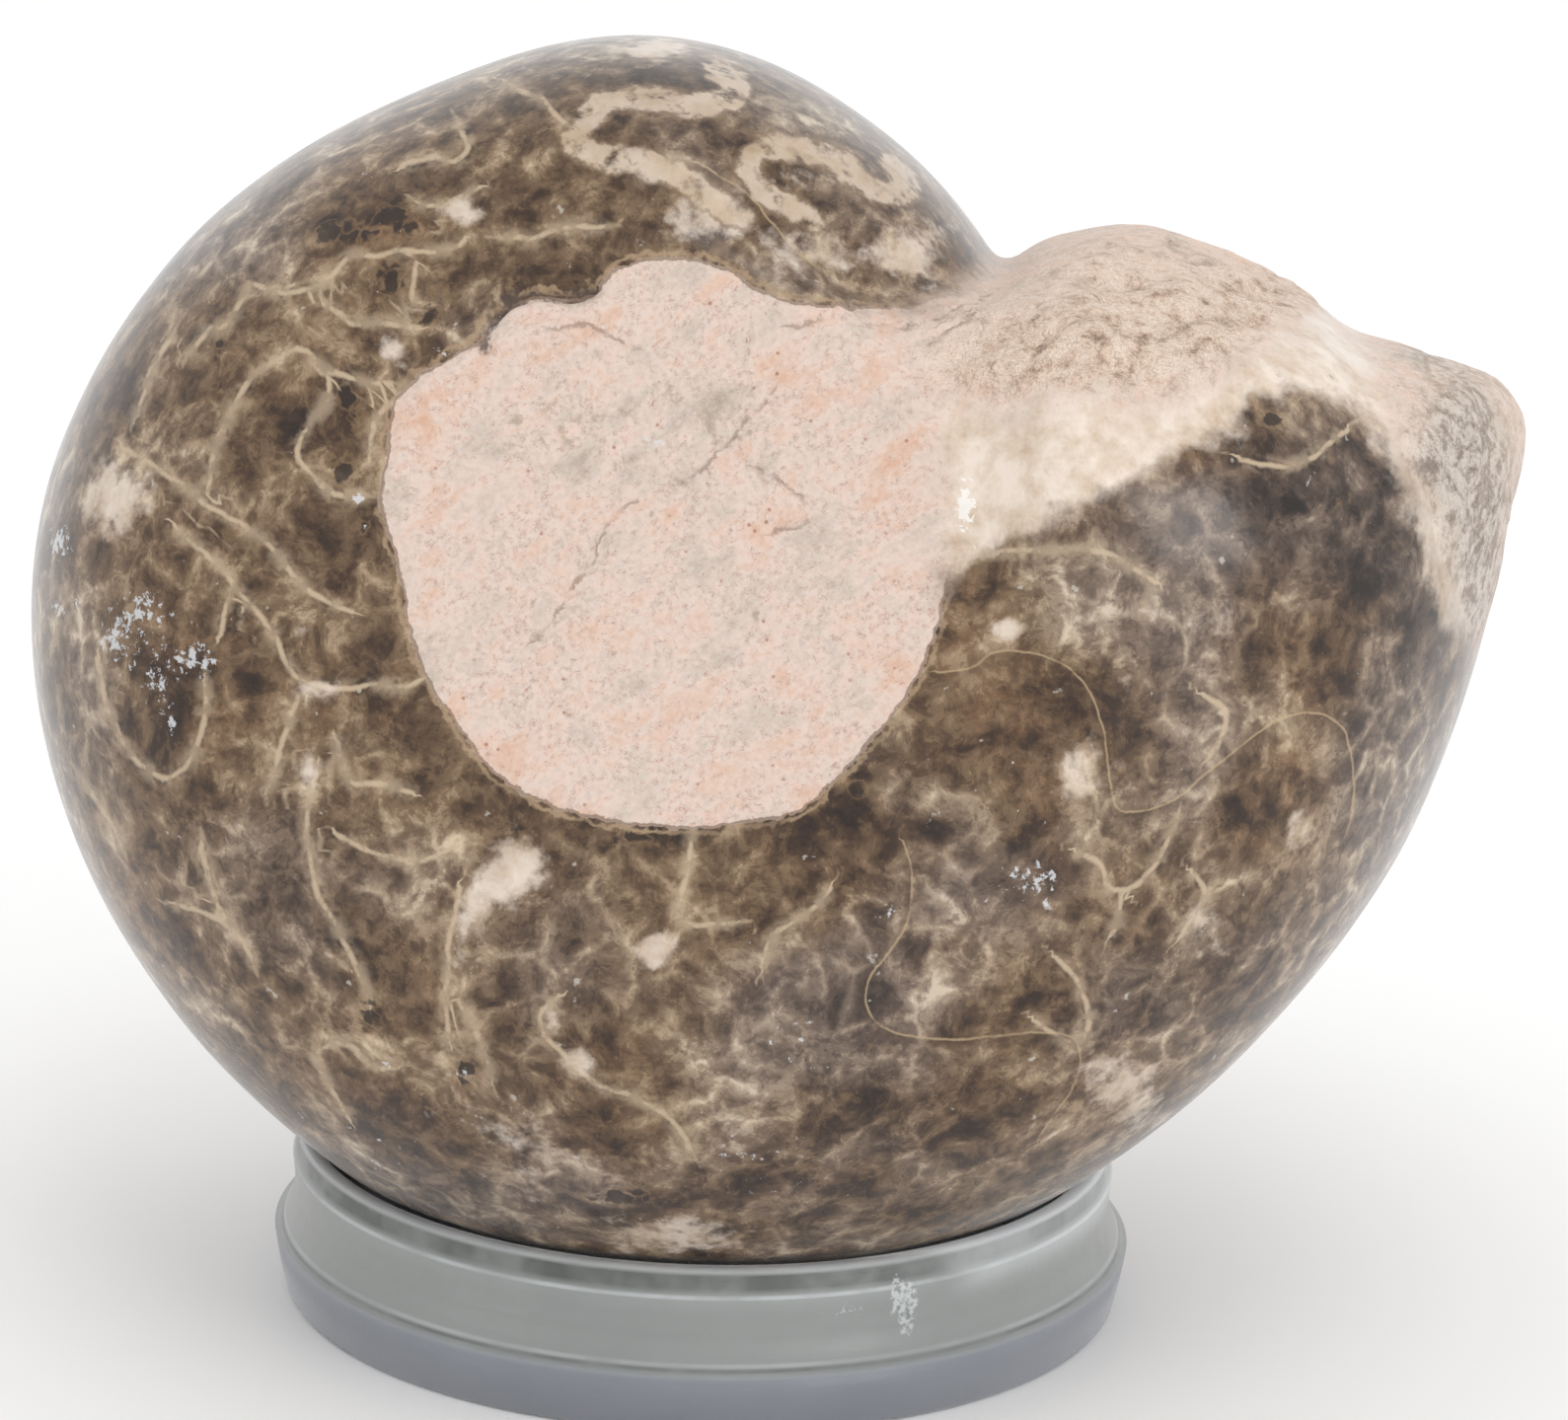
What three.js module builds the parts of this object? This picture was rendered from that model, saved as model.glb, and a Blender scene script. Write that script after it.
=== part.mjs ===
// A polished vascoceras ammonite, an involute globose coil that grows anticlockwise as seen from the front,
// resting in a frosted plastic ring stand. Millimetres, +Z up, the front of the fossil faces -Y.
import * as THREE from "three";
import { mergeVertices } from "three/addons/utils/BufferGeometryUtils.js";

// Attitude of the coil in the ring, whose own axis stands at x = 0, y = 0.
const COIL_CENTRE = new THREE.Vector3(-2.9, 3, 43.5);
const COIL_TILT = 15.4; // the coiling axis looks this many degrees above the table
const COIL_ROLL = 1.8; // turn of the coil about its own axis, degrees
const GROUND_CENTRE = new THREE.Vector3(5, 0, 38); // inner point that sees the whole surface
const REACH = 72; // farther than any point of the surface from that inner point
const FACETS = 25; // facets along each edge of the cube that is blown up into the stone

// Outline of the whorl, every 30 degrees of growth from -60 degrees.
const GROWTH_START = -60;
const GROWTH_STEP = 30;
const GROWTH_END = 450;
const WHORL_RADIUS = [
  19.5, 21, 22.5, 24.2, 26.8, 29.5, 30.2, 33.2, 36.4, 38.1, 39.9, 42.8, 43, 44.7, 47.7, 54.5, 55.5, 57.5,
];
// Half width of the whorl over its outer radius at the same places.
const WHORL_WIDTH = [
  0.86, 0.85, 0.84, 0.83, 0.82, 0.79, 0.76, 0.71, 0.68, 0.69, 0.7, 0.7, 0.7, 0.675, 0.645, 0.61, 0.6, 0.59,
];
const FLANK_CREST = 17; // the flank is widest at this radius
const SECTION_POWER = 2.3; // 2 is an ellipse, more is squarer
const SEAM_ANGLE = -45; // the last whorl lies over the first from this angle on

// Ground flank: the limestone in the umbilicus is flush with a plane, and the last flank rises out of it.
const FILL_RADIUS = 16.6;
const FILL_HEIGHT = 26.5;
const FILL_SLOPE_U = 0.1;
const FILL_SLOPE_V = -0.18;
const FLANK_RISE = 9;

// Upper edge of the broken end of the last whorl, every 3 mm across from -9 mm, and how it falls to both sides.
const END_START = -9;
const END_STEP = 3;
const END_EDGE = [
  17.3, 17.3, 17.2, 16.6, 15.9, 15.2, 14.6, 14.4, 14.9, 15.7, 17.7, 18.6, 18.8, 18, 16.4, 15, 12.9, 12, 10.8, 9.6,
  8, 2, -4,
];
const END_HALF_WIDTH = 30;
const END_DROP_SADDLE = 2;
const END_DROP_HUMP = 10;
const END_ROUNDING = [2.5, 8]; // at the middle of the venter and at the flanks

// Underside, eased to lie evenly on the ring: cosine and sine terms of each order round the ring's axis.
const SEAT_RADIUS = 23;
const SEAT_EASE = [[-0.86, 0], [-0.16, -0.57], [-0.17, -0.15], [-0.05, -0.7]];
const SEAT_RAISE = 2.8;
const SEAT_FADE = [10, 34]; // heights between which the easing dies out

// Section of the ring stand: radius and height, up the outside and down the inside.
const RING_SECTION = [
  [21.2, 0], [24, 0], [24.35, 0.3], [24.75, 2], [25, 3.55], [24.65, 3.7], [24.2, 4.5], [23.85, 5.6], [23.85, 6.8],
  [24, 7.9], [23.8, 8.2], [23.75, 9.35], [23.55, 9.55], [22.9, 9.55], [21.2, 7],
];
const RING_SIDES = 72;

const STONE = { color: 0x6e5c4b, roughness: 0.25, metalness: 0 };
const PLASTIC = { color: 0x989b9e, roughness: 0.4, metalness: 0 };

function ramp(value, low, high) {
  return THREE.MathUtils.smoothstep(value, low, high);
}

// Catmull-Rom value of an evenly spaced list at place x, counted in list steps.
function along(list, x) {
  const i = THREE.MathUtils.clamp(Math.floor(x), 1, list.length - 3);
  const t = x - i;
  const [a, b, c, d] = list.slice(i - 1, i + 3);
  return b + 0.5 * t * (c - a + t * (2 * a - 5 * b + 4 * c - d + t * (3 * (b - c) + d - a)));
}

function softMin(a, b, width) {
  const h = Math.max(width - Math.abs(a - b), 0) / width;
  return Math.min(a, b) - (h * h * width) / 4;
}

function softMax(a, b, width) {
  return -softMin(-a, -b, width);
}

function groundPlane(u, v) {
  return FILL_HEIGHT + FILL_SLOPE_U * u + FILL_SLOPE_V * v;
}

// Below zero inside the whorl that has grown to this angle; u and v lie in the coil's plane, w along its axis.
function whorl(u, v, w, growth) {
  const place = (growth - GROWTH_START) / GROWTH_STEP;
  const outer = along(WHORL_RADIUS, place);
  const halfWidth = along(WHORL_WIDTH, place) * outer;
  const crest = Math.min(FLANK_CREST, 0.7 * outer);
  const rho = Math.hypot(u, v);
  const outward = Math.max(rho - crest, 0) / (outer - crest);
  const inward = Math.max(crest - rho, 0) / (1.25 * crest);
  const across = Math.abs(w) / halfWidth;
  const section = (outward ** SECTION_POWER + inward ** 2 + across ** SECTION_POWER) ** (1 / SECTION_POWER);
  const body = (section - 1) * Math.min(outer - crest, halfWidth);
  const rise = FLANK_RISE * ramp(rho, 15, 30) * (1 - ramp(growth, 365, 430));
  const flank = groundPlane(u, v) - 1.5 + 1.5 * ramp(rho, 11, 17) + rise;
  return softMax(body, Math.abs(w) - flank, 2);
}

// Below zero inside the stone: the first whorl, the filled umbilicus and the last whorl with its broken end.
function stone(u, v, w) {
  const angle = THREE.MathUtils.radToDeg(Math.atan2(v, u));
  const growth = angle < SEAM_ANGLE ? angle + 360 : angle;
  const fill = softMax(Math.hypot(u, v) - FILL_RADIUS, Math.abs(w) - groundPlane(u, v), 2);
  const first = softMin(whorl(u, v, w, growth), fill, 2);
  if (growth > 120) return first;
  const drop = THREE.MathUtils.lerp(END_DROP_SADDLE, END_DROP_HUMP, ramp(u, 12, 28));
  const edge = along(END_EDGE, (THREE.MathUtils.clamp(u, -6, 53) - END_START) / END_STEP);
  const end = 0.75 * (v - edge + drop * (Math.abs(w) / END_HALF_WIDTH) ** 2.2);
  const rounding = THREE.MathUtils.lerp(...END_ROUNDING, ramp(Math.abs(w), 4, END_HALF_WIDTH));
  const last = softMax(whorl(u, v, w, Math.min(growth + 360, GROWTH_END)), end, rounding);
  return softMin(first, last, 1.5);
}

const axisW = new THREE.Vector3(0, -Math.cos(THREE.MathUtils.degToRad(COIL_TILT)),
  Math.sin(THREE.MathUtils.degToRad(COIL_TILT)));
const axisU = new THREE.Vector3(1, 0, 0).applyAxisAngle(axisW, THREE.MathUtils.degToRad(COIL_ROLL));
const axisV = new THREE.Vector3().crossVectors(axisW, axisU);

// The same stone in the ring's coordinates, with its underside eased onto the ring.
function seatedStone(point) {
  const radius = Math.hypot(point.x, point.y);
  const azimuth = Math.atan2(point.y, point.x);
  const spread = Math.min(radius / SEAT_RADIUS, 1.3) ** 2;
  let ease = -SEAT_RAISE * Math.max(1 - (radius / SEAT_RADIUS) ** 2, 0);
  SEAT_EASE.forEach(([cosine, sine], order) => {
    ease += spread * (cosine * Math.cos(order * azimuth) + sine * Math.sin(order * azimuth));
  });
  const place = point.clone().sub(COIL_CENTRE);
  place.z += ease * (1 - ramp(point.z, ...SEAT_FADE));
  return stone(place.dot(axisU), place.dot(axisV), place.dot(axisW));
}

// Distance from the inner point to the surface: step in until inside, then halve the last step.
function groundDistance(direction) {
  const point = new THREE.Vector3();
  const inside = (distance) => seatedStone(point.copy(direction).multiplyScalar(distance).add(GROUND_CENTRE)) < 0;
  let outer = REACH;
  while (outer > 1 && !inside(outer - 1)) outer -= 1;
  let inner = outer - 1;
  for (let halving = 0; halving < 14; halving += 1) {
    const middle = (inner + outer) / 2;
    if (inside(middle)) inner = middle;
    else outer = middle;
  }
  return (inner + outer) / 2;
}

function ammoniteGeometry() {
  const cube = new THREE.BoxGeometry(2, 2, 2, FACETS, FACETS, FACETS);
  cube.deleteAttribute("normal");
  cube.deleteAttribute("uv");
  const geometry = mergeVertices(cube, 1e-5);
  const corners = geometry.getAttribute("position");
  const direction = new THREE.Vector3();
  for (let i = 0; i < corners.count; i += 1) {
    direction.fromBufferAttribute(corners, i);
    direction.set(...direction.toArray().map((value) => Math.tan((value * Math.PI) / 4))).normalize();
    direction.multiplyScalar(groundDistance(direction));
    corners.setXYZ(i, direction.x, direction.y, direction.z);
  }
  geometry.computeVertexNormals();
  return geometry;
}

const ammonite = new THREE.Mesh(ammoniteGeometry(), new THREE.MeshStandardMaterial(STONE));
ammonite.name = "ammonite";
ammonite.position.copy(GROUND_CENTRE);

const section = [...RING_SECTION, RING_SECTION[0]].map(([radius, height]) => new THREE.Vector2(radius, height));
const ring = new THREE.Mesh(new THREE.LatheGeometry(section, RING_SIDES), new THREE.MeshStandardMaterial(PLASTIC));
ring.name = "ring_stand";
ring.rotation.x = Math.PI / 2;

const group = new THREE.Group();
group.add(ammonite, ring);
group.updateMatrixWorld(true);
const middle = new THREE.Box3().setFromObject(group, true).getCenter(new THREE.Vector3());
group.position.set(-middle.x, -middle.y, 0);
group.updateMatrixWorld(true);

export default group;
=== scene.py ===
"""Polished vascoceras ammonite resting in a frosted ring stand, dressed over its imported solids.

The stone's surface is solved from the same coil formula as the solids, on a much finer grid. Its markings are
traced outlines and strokes, held as signed distances on the grid's points and drawn by the stone's finish.
Surface functions work in millimetres about the ring stand's axis, and meshes are in metres.
"""

from __future__ import annotations

import logging
import math
from collections.abc import Callable, Iterable, Sequence
from dataclasses import dataclass, field
from enum import Enum

import bpy
import numpy as np
from mathutils import Matrix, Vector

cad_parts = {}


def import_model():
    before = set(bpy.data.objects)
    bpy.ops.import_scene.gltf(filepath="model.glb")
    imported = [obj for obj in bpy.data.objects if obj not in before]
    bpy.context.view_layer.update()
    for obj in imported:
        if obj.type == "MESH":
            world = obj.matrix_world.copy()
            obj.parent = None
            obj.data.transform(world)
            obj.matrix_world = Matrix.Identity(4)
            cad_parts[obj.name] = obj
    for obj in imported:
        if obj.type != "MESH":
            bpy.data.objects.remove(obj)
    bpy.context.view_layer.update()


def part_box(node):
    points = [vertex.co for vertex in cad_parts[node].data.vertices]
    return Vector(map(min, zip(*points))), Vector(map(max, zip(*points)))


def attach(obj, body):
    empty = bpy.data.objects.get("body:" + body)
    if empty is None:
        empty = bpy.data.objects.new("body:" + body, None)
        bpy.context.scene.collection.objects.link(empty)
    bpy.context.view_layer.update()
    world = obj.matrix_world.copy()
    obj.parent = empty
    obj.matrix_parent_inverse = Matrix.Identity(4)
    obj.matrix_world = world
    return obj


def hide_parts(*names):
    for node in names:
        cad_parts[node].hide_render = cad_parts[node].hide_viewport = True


LOG = logging.getLogger("ammonite")
MM = 0.001
PIXELS_PER_MM = 17.2

Point = tuple[float, float]
Place = tuple[float, float, float]
Outline = Sequence[Point]
Cloud = tuple[float, float, float, float, float]
Shades = tuple[tuple[float, int, int, int], ...]


def smooth_ramp(value: np.ndarray, low: float, high: float) -> np.ndarray:
    """Smooth step t * t * (3 - 2 t), where t runs from 0 at low to 1 at high."""
    t = np.clip((value - low) / (high - low), 0.0, 1.0)
    return t * t * (3.0 - 2.0 * t)


def soft_min(a: np.ndarray, b: np.ndarray, width: float | np.ndarray) -> np.ndarray:
    """Smaller of two fields, less h * h * width / 4 with h = 1 - |a - b| / width where they are close."""
    h = np.maximum(width - np.abs(a - b), 0.0) / width
    return np.minimum(a, b) - h * h * width / 4.0


def soft_max(a: np.ndarray, b: np.ndarray, width: float | np.ndarray) -> np.ndarray:
    """Larger of two fields with the edge rounded: the negative of soft_min of the negatives."""
    return -soft_min(-a, -b, width)


def catmull_rom(knots: Sequence[np.ndarray], t: np.ndarray) -> np.ndarray:
    """Cubic through four even steps, at share t of the way from the second to the third."""
    a, b, c, d = knots
    return b + 0.5 * t * (c - a + t * (2 * a - 5 * b + 4 * c - d + t * (3 * (b - c) + d - a)))


def furrow(distance: np.ndarray, size: Point) -> np.ndarray:
    """Depth of a furrow of a given depth and half width: depth * exp(-(distance / half width)^2)."""
    return size[0] * np.exp(-((distance / size[1]) ** 2))


def along(values: Sequence[float], place: np.ndarray) -> np.ndarray:
    """Smooth value of an evenly spaced list.

    Args:
        values: The list.
        place: Places in it, counted in list steps.

    Returns:
        The Catmull-Rom value at each place.
    """
    table = np.asarray(values, dtype=float)
    i = np.clip(np.floor(place).astype(int), 1, len(table) - 3)
    return catmull_rom([table[i + step] for step in (-1, 0, 1, 2)], place - i)


def tipped_axes(tip: float, roll: float) -> np.ndarray:
    """Directions of a plane that leans back from facing the front.

    Args:
        tip: Degrees by which the plane's face looks up.
        roll: Degrees by which it is turned in itself.

    Returns:
        Unit vectors across the plane, up the plane and out of its face, one row each.
    """
    e, r = math.radians(tip), math.radians(roll)
    level = np.array([1.0, 0.0, 0.0])
    upright = np.array([0.0, math.sin(e), math.cos(e)])
    face = np.array([0.0, -math.cos(e), math.sin(e)])
    return np.array(
        [math.cos(r) * level + math.sin(r) * upright, math.cos(r) * upright - math.sin(r) * level, face]
    )


class LatticeNoise:
    """Smooth random field on a repeating lattice, the same on every run."""

    size: int = 32
    octave_shift: float = 7.3

    def __init__(self, seed: int) -> None:
        """Fill the lattice with seeded values."""
        self.values = np.random.default_rng(seed).uniform(-1.0, 1.0, (self.size, self.size, self.size))

    def single(self, points: np.ndarray) -> np.ndarray:
        """One octave: the eight corners round each point, weighted by t * t * (3 - 2 t) each way.

        Args:
            points: Places in lattice steps, one row each.

        Returns:
            Values between -1 and 1.
        """
        base = np.floor(points).astype(int)
        t = smooth_ramp(points - base, 0.0, 1.0)
        total = np.zeros(len(points))
        for corner in range(8):
            offset = np.array([corner & 1, corner >> 1 & 1, corner >> 2 & 1])
            weight = np.prod(np.where(offset == 1, t, 1.0 - t), axis=1)
            i, j, k = ((base + offset) % self.size).T
            total += weight * self.values[i, j, k]
        return total

    def layered(self, points: np.ndarray, period: float) -> np.ndarray:
        """Field of a period in millimetres, plus half of one at half the period."""
        fine = self.single(points * 2.0 / period + self.octave_shift)
        return self.single(points / period) + 0.5 * fine


@dataclass(frozen=True)
class PhotoCamera:
    """Camera that sees the model as the photograph does, lengths in millimetres."""

    width: int = 1589
    height: int = 1439
    distance: float = 450.0
    elevation: float = 16.4
    roll: float = 1.8
    ring_pixel: Point = (709.0, 1297.0)
    sensor: float = 36.0

    def focal_pixels(self) -> float:
        """Focal length in image pixels: the scale at the ring times the distance."""
        return PIXELS_PER_MM * self.distance

    def axes(self) -> np.ndarray:
        """Right, up and backward directions of the view, one row each."""
        return tipped_axes(self.elevation, self.roll)

    def position(self) -> np.ndarray:
        """Place of the camera about the ring's axis.

        Returns:
            Coordinates in millimetres.
        """
        right, up, backward = self.axes()
        across = (self.ring_pixel[0] - self.width / 2) / PIXELS_PER_MM
        down = (self.ring_pixel[1] - self.height / 2) / PIXELS_PER_MM
        return self.distance * backward - across * right + down * up

    def project(self, points: np.ndarray) -> np.ndarray:
        """Image pixels of points.

        Args:
            points: Places in millimetres, one row each.

        Returns:
            Pixel column and row of each.
        """
        right, up, backward = self.axes() @ (points - self.position()).T
        scale = -self.focal_pixels() / backward
        return np.stack([self.width / 2 + scale * right, self.height / 2 - scale * up], axis=1)


@dataclass(frozen=True)
class Coil:
    """The ammonite's form in millimetres: a spiral whorl with a filled umbilicus and a broken end."""

    centre: Place = (-2.9, 3.0, 43.5)
    tilt: float = 15.4
    roll: float = 1.8
    growth_start: float = -60.0
    growth_step: float = 30.0
    growth_end: float = 450.0
    radius: tuple[float, ...] = (
        19.5, 21.0, 22.5, 24.2, 26.8, 29.5, 30.2, 33.2, 36.4, 38.1, 39.9, 42.8, 43.0, 44.7, 47.7, 54.5, 55.5,
        57.5,
    )
    width: tuple[float, ...] = (
        0.86, 0.85, 0.84, 0.83, 0.82, 0.79, 0.76, 0.71, 0.68, 0.69, 0.7, 0.7, 0.7, 0.675, 0.645, 0.61, 0.6,
        0.59,
    )
    flank_crest: float = 17.0
    crest_share: float = 0.7
    inward_share: float = 1.25
    section_power: float = 2.3
    seam_angle: float = -45.0
    last_growth: float = 120.0
    fill_radius: float = 16.6
    fill_height: float = 26.5
    fill_slope: Point = (0.1, -0.18)
    fill_step: float = 1.5
    fill_step_span: Point = (11.0, 17.0)
    flank_rise: float = 9.0
    rise_span: Point = (15.0, 30.0)
    rise_growth: Point = (365.0, 430.0)
    ground_rounding: float = 2.0
    seam_rounding: float = 1.5
    end_start: float = -9.0
    end_step: float = 3.0
    end_span: Point = (-6.0, 53.0)
    end_edge: tuple[float, ...] = (
        17.3, 17.3, 17.2, 16.6, 15.9, 15.2, 14.6, 14.4, 14.9, 15.7, 17.7, 18.6, 18.8, 18.0, 16.4, 15.0, 12.9,
        12.0, 10.8, 9.6, 8.0, 2.0, -4.0,
    )
    end_lean: float = 0.75
    end_half_width: float = 30.0
    end_drop: Point = (2.0, 10.0)
    end_drop_span: Point = (12.0, 28.0)
    end_drop_power: float = 2.2
    end_rounding: Point = (2.5, 8.0)
    end_rounding_start: float = 4.0
    seat_radius: float = 23.0
    seat_ease: tuple[Point, ...] = ((-0.86, 0.0), (-0.16, -0.57), (-0.17, -0.15), (-0.05, -0.7))
    seat_raise: float = 2.8
    seat_spread: float = 1.3
    seat_fade: Point = (10.0, 34.0)

    def axes(self) -> np.ndarray:
        """Directions across the coil, up the coil and along its axis, one row each."""
        return tipped_axes(self.tilt, self.roll)

    def ground_plane(self, u: np.ndarray, v: np.ndarray) -> np.ndarray:
        """Height of the ground flank over the median plane, sloping both ways."""
        return self.fill_height + self.fill_slope[0] * u + self.fill_slope[1] * v

    def whorl(self, u: np.ndarray, v: np.ndarray, w: np.ndarray, growth: np.ndarray) -> np.ndarray:
        """Field of the whorl at one angle of growth, below zero inside.

        Args:
            u: Places across the coil.
            v: Places up the coil.
            w: Places along its axis.
            growth: Angle of growth in degrees.

        Returns:
            (outward^p + inward^2 + across^p)^(1/p) - 1 in units of the section, cut flat by the ground flank.
        """
        place = (growth - self.growth_start) / self.growth_step
        outer = along(self.radius, place)
        half_width = along(self.width, place) * outer
        crest = np.minimum(self.flank_crest, self.crest_share * outer)
        rho = np.hypot(u, v)
        outward = np.maximum(rho - crest, 0.0) / (outer - crest)
        inward = np.maximum(crest - rho, 0.0) / (self.inward_share * crest)
        across = np.abs(w) / half_width
        p = self.section_power
        section = (outward**p + inward**2 + across**p) ** (1.0 / p)
        body = (section - 1.0) * np.minimum(outer - crest, half_width)
        rise = self.flank_rise * smooth_ramp(rho, *self.rise_span)
        rise = rise * (1.0 - smooth_ramp(growth, *self.rise_growth))
        step = self.fill_step * smooth_ramp(rho, *self.fill_step_span) - self.fill_step
        return soft_max(body, np.abs(w) - self.ground_plane(u, v) - step - rise, self.ground_rounding)

    def stone(self, u: np.ndarray, v: np.ndarray, w: np.ndarray) -> np.ndarray:
        """Field of the whole stone in the coil's own directions, below zero inside.

        Args:
            u: Places across the coil.
            v: Places up the coil.
            w: Places along its axis.

        Returns:
            The first whorl, the filled umbilicus and the cut last whorl, joined softly.
        """
        angle = np.degrees(np.arctan2(v, u))
        growth = np.where(angle < self.seam_angle, angle + 360.0, angle)
        ground = np.abs(w) - self.ground_plane(u, v)
        fill = soft_max(np.hypot(u, v) - self.fill_radius, ground, self.ground_rounding)
        first = soft_min(self.whorl(u, v, w, growth), fill, self.ground_rounding)
        least, most = self.end_drop
        drop = least + (most - least) * smooth_ramp(u, *self.end_drop_span)
        edge = along(self.end_edge, (np.clip(u, *self.end_span) - self.end_start) / self.end_step)
        bend = drop * (np.abs(w) / self.end_half_width) ** self.end_drop_power
        sharp, round_off = self.end_rounding
        outward = smooth_ramp(np.abs(w), self.end_rounding_start, self.end_half_width)
        rounding = sharp + (round_off - sharp) * outward
        last = self.whorl(u, v, w, np.minimum(growth + 360.0, self.growth_end))
        last = soft_max(last, self.end_lean * (v - edge + bend), rounding)
        return np.where(growth > self.last_growth, first, soft_min(first, last, self.seam_rounding))

    def field(self, points: np.ndarray) -> np.ndarray:
        """Field of the stone as it is seated on the ring, below zero inside.

        Args:
            points: Places about the ring's axis, one row each.

        Returns:
            The stone's field, sampled a little higher where its underside is eased down.
        """
        radius = np.hypot(points[:, 0], points[:, 1]) / self.seat_radius
        azimuth = np.arctan2(points[:, 1], points[:, 0])
        spread = np.minimum(radius, self.seat_spread) ** 2
        ease = -self.seat_raise * np.maximum(1.0 - radius**2, 0.0)
        for order, (cosine, sine) in enumerate(self.seat_ease):
            ease = ease + spread * (cosine * np.cos(order * azimuth) + sine * np.sin(order * azimuth))
        place = points - np.array(self.centre)
        place[:, 2] += ease * (1.0 - smooth_ramp(points[:, 2], *self.seat_fade))
        return self.stone(*(place @ self.axes().T).T)

    def front_twin(self, points: np.ndarray) -> np.ndarray:
        """Each point, or its mirror image in front of the median plane when it lies behind.

        Args:
            points: Places about the ring's axis, one row each.

        Returns:
            Places on the coil's front side.
        """
        local = (points - np.array(self.centre)) @ self.axes().T
        local[:, 2] = np.abs(local[:, 2])
        return local @ self.axes() + np.array(self.centre)


@dataclass(frozen=True)
class BlownCube:
    """Grid of a cube's surface, blown up along rays until it meets a field's zero surface."""

    divisions: tuple[int, int, int]
    centre: Place = (5.0, 0.0, 38.0)
    reach: float = 72.0
    march: float = 1.0
    core: float = 2.0
    halvings: int = 12

    def lattice(self) -> tuple[np.ndarray, np.ndarray]:
        """Corners and quads of the cube's surface.

        Returns:
            Whole-number corner coordinates, and four corner numbers for each quad, facing out.
        """
        counts = self.divisions
        quads: list[np.ndarray] = []
        for axis in range(3):
            first, second = (axis + 1) % 3, (axis + 2) % 3
            i, j = np.meshgrid(np.arange(counts[first]), np.arange(counts[second]), indexing="ij")
            for level, order in ((counts[axis], (0, 1, 2, 3)), (0, (3, 2, 1, 0))):
                corners = np.zeros((i.size, 4, 3), dtype=int)
                corners[:, :, axis] = level
                corners[:, :, first] = np.stack([i, i + 1, i + 1, i], axis=-1).reshape(-1, 4)
                corners[:, :, second] = np.stack([j, j, j + 1, j + 1], axis=-1).reshape(-1, 4)
                quads.append(corners[:, list(order)])
        every = np.concatenate(quads).reshape(-1, 3)
        corners, number = np.unique(every, axis=0, return_inverse=True)
        return corners, number.reshape(-1, 4)

    def solve(self, field_of: Callable[[np.ndarray], np.ndarray], axes: np.ndarray) -> tuple[np.ndarray, ...]:
        """Surface points where the field is zero.

        Each corner at p, from -1 to 1, looks out along tan(p * pi / 4). It marches in from the reach to the
        first step inside, then halves that step.

        Args:
            field_of: Field below zero inside.
            axes: Directions of the cube's edges, one row each.

        Returns:
            Points, ray directions and quads.
        """
        corners, quads = self.lattice()
        place = 2.0 * corners / np.array(self.divisions) - 1.0
        rays = np.tan(place * math.pi / 4.0) @ axes
        rays /= np.linalg.norm(rays, axis=1, keepdims=True)
        centre = np.array(self.centre)
        outer = np.full(len(rays), self.reach)
        open_rays = np.arange(len(rays))
        while len(open_rays):
            step = outer[open_rays] - self.march
            inside = field_of(centre + rays[open_rays] * step[:, None]) < 0.0
            outer[open_rays[~inside]] -= self.march
            open_rays = open_rays[~inside & (step > self.core)]
        inner = outer - self.march
        for _ in range(self.halvings):
            middle = (inner + outer) / 2.0
            inside = field_of(centre + rays * middle[:, None]) < 0.0
            inner = np.where(inside, middle, inner)
            outer = np.where(inside, outer, middle)
        return centre + rays * inner[:, None], rays, quads


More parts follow.
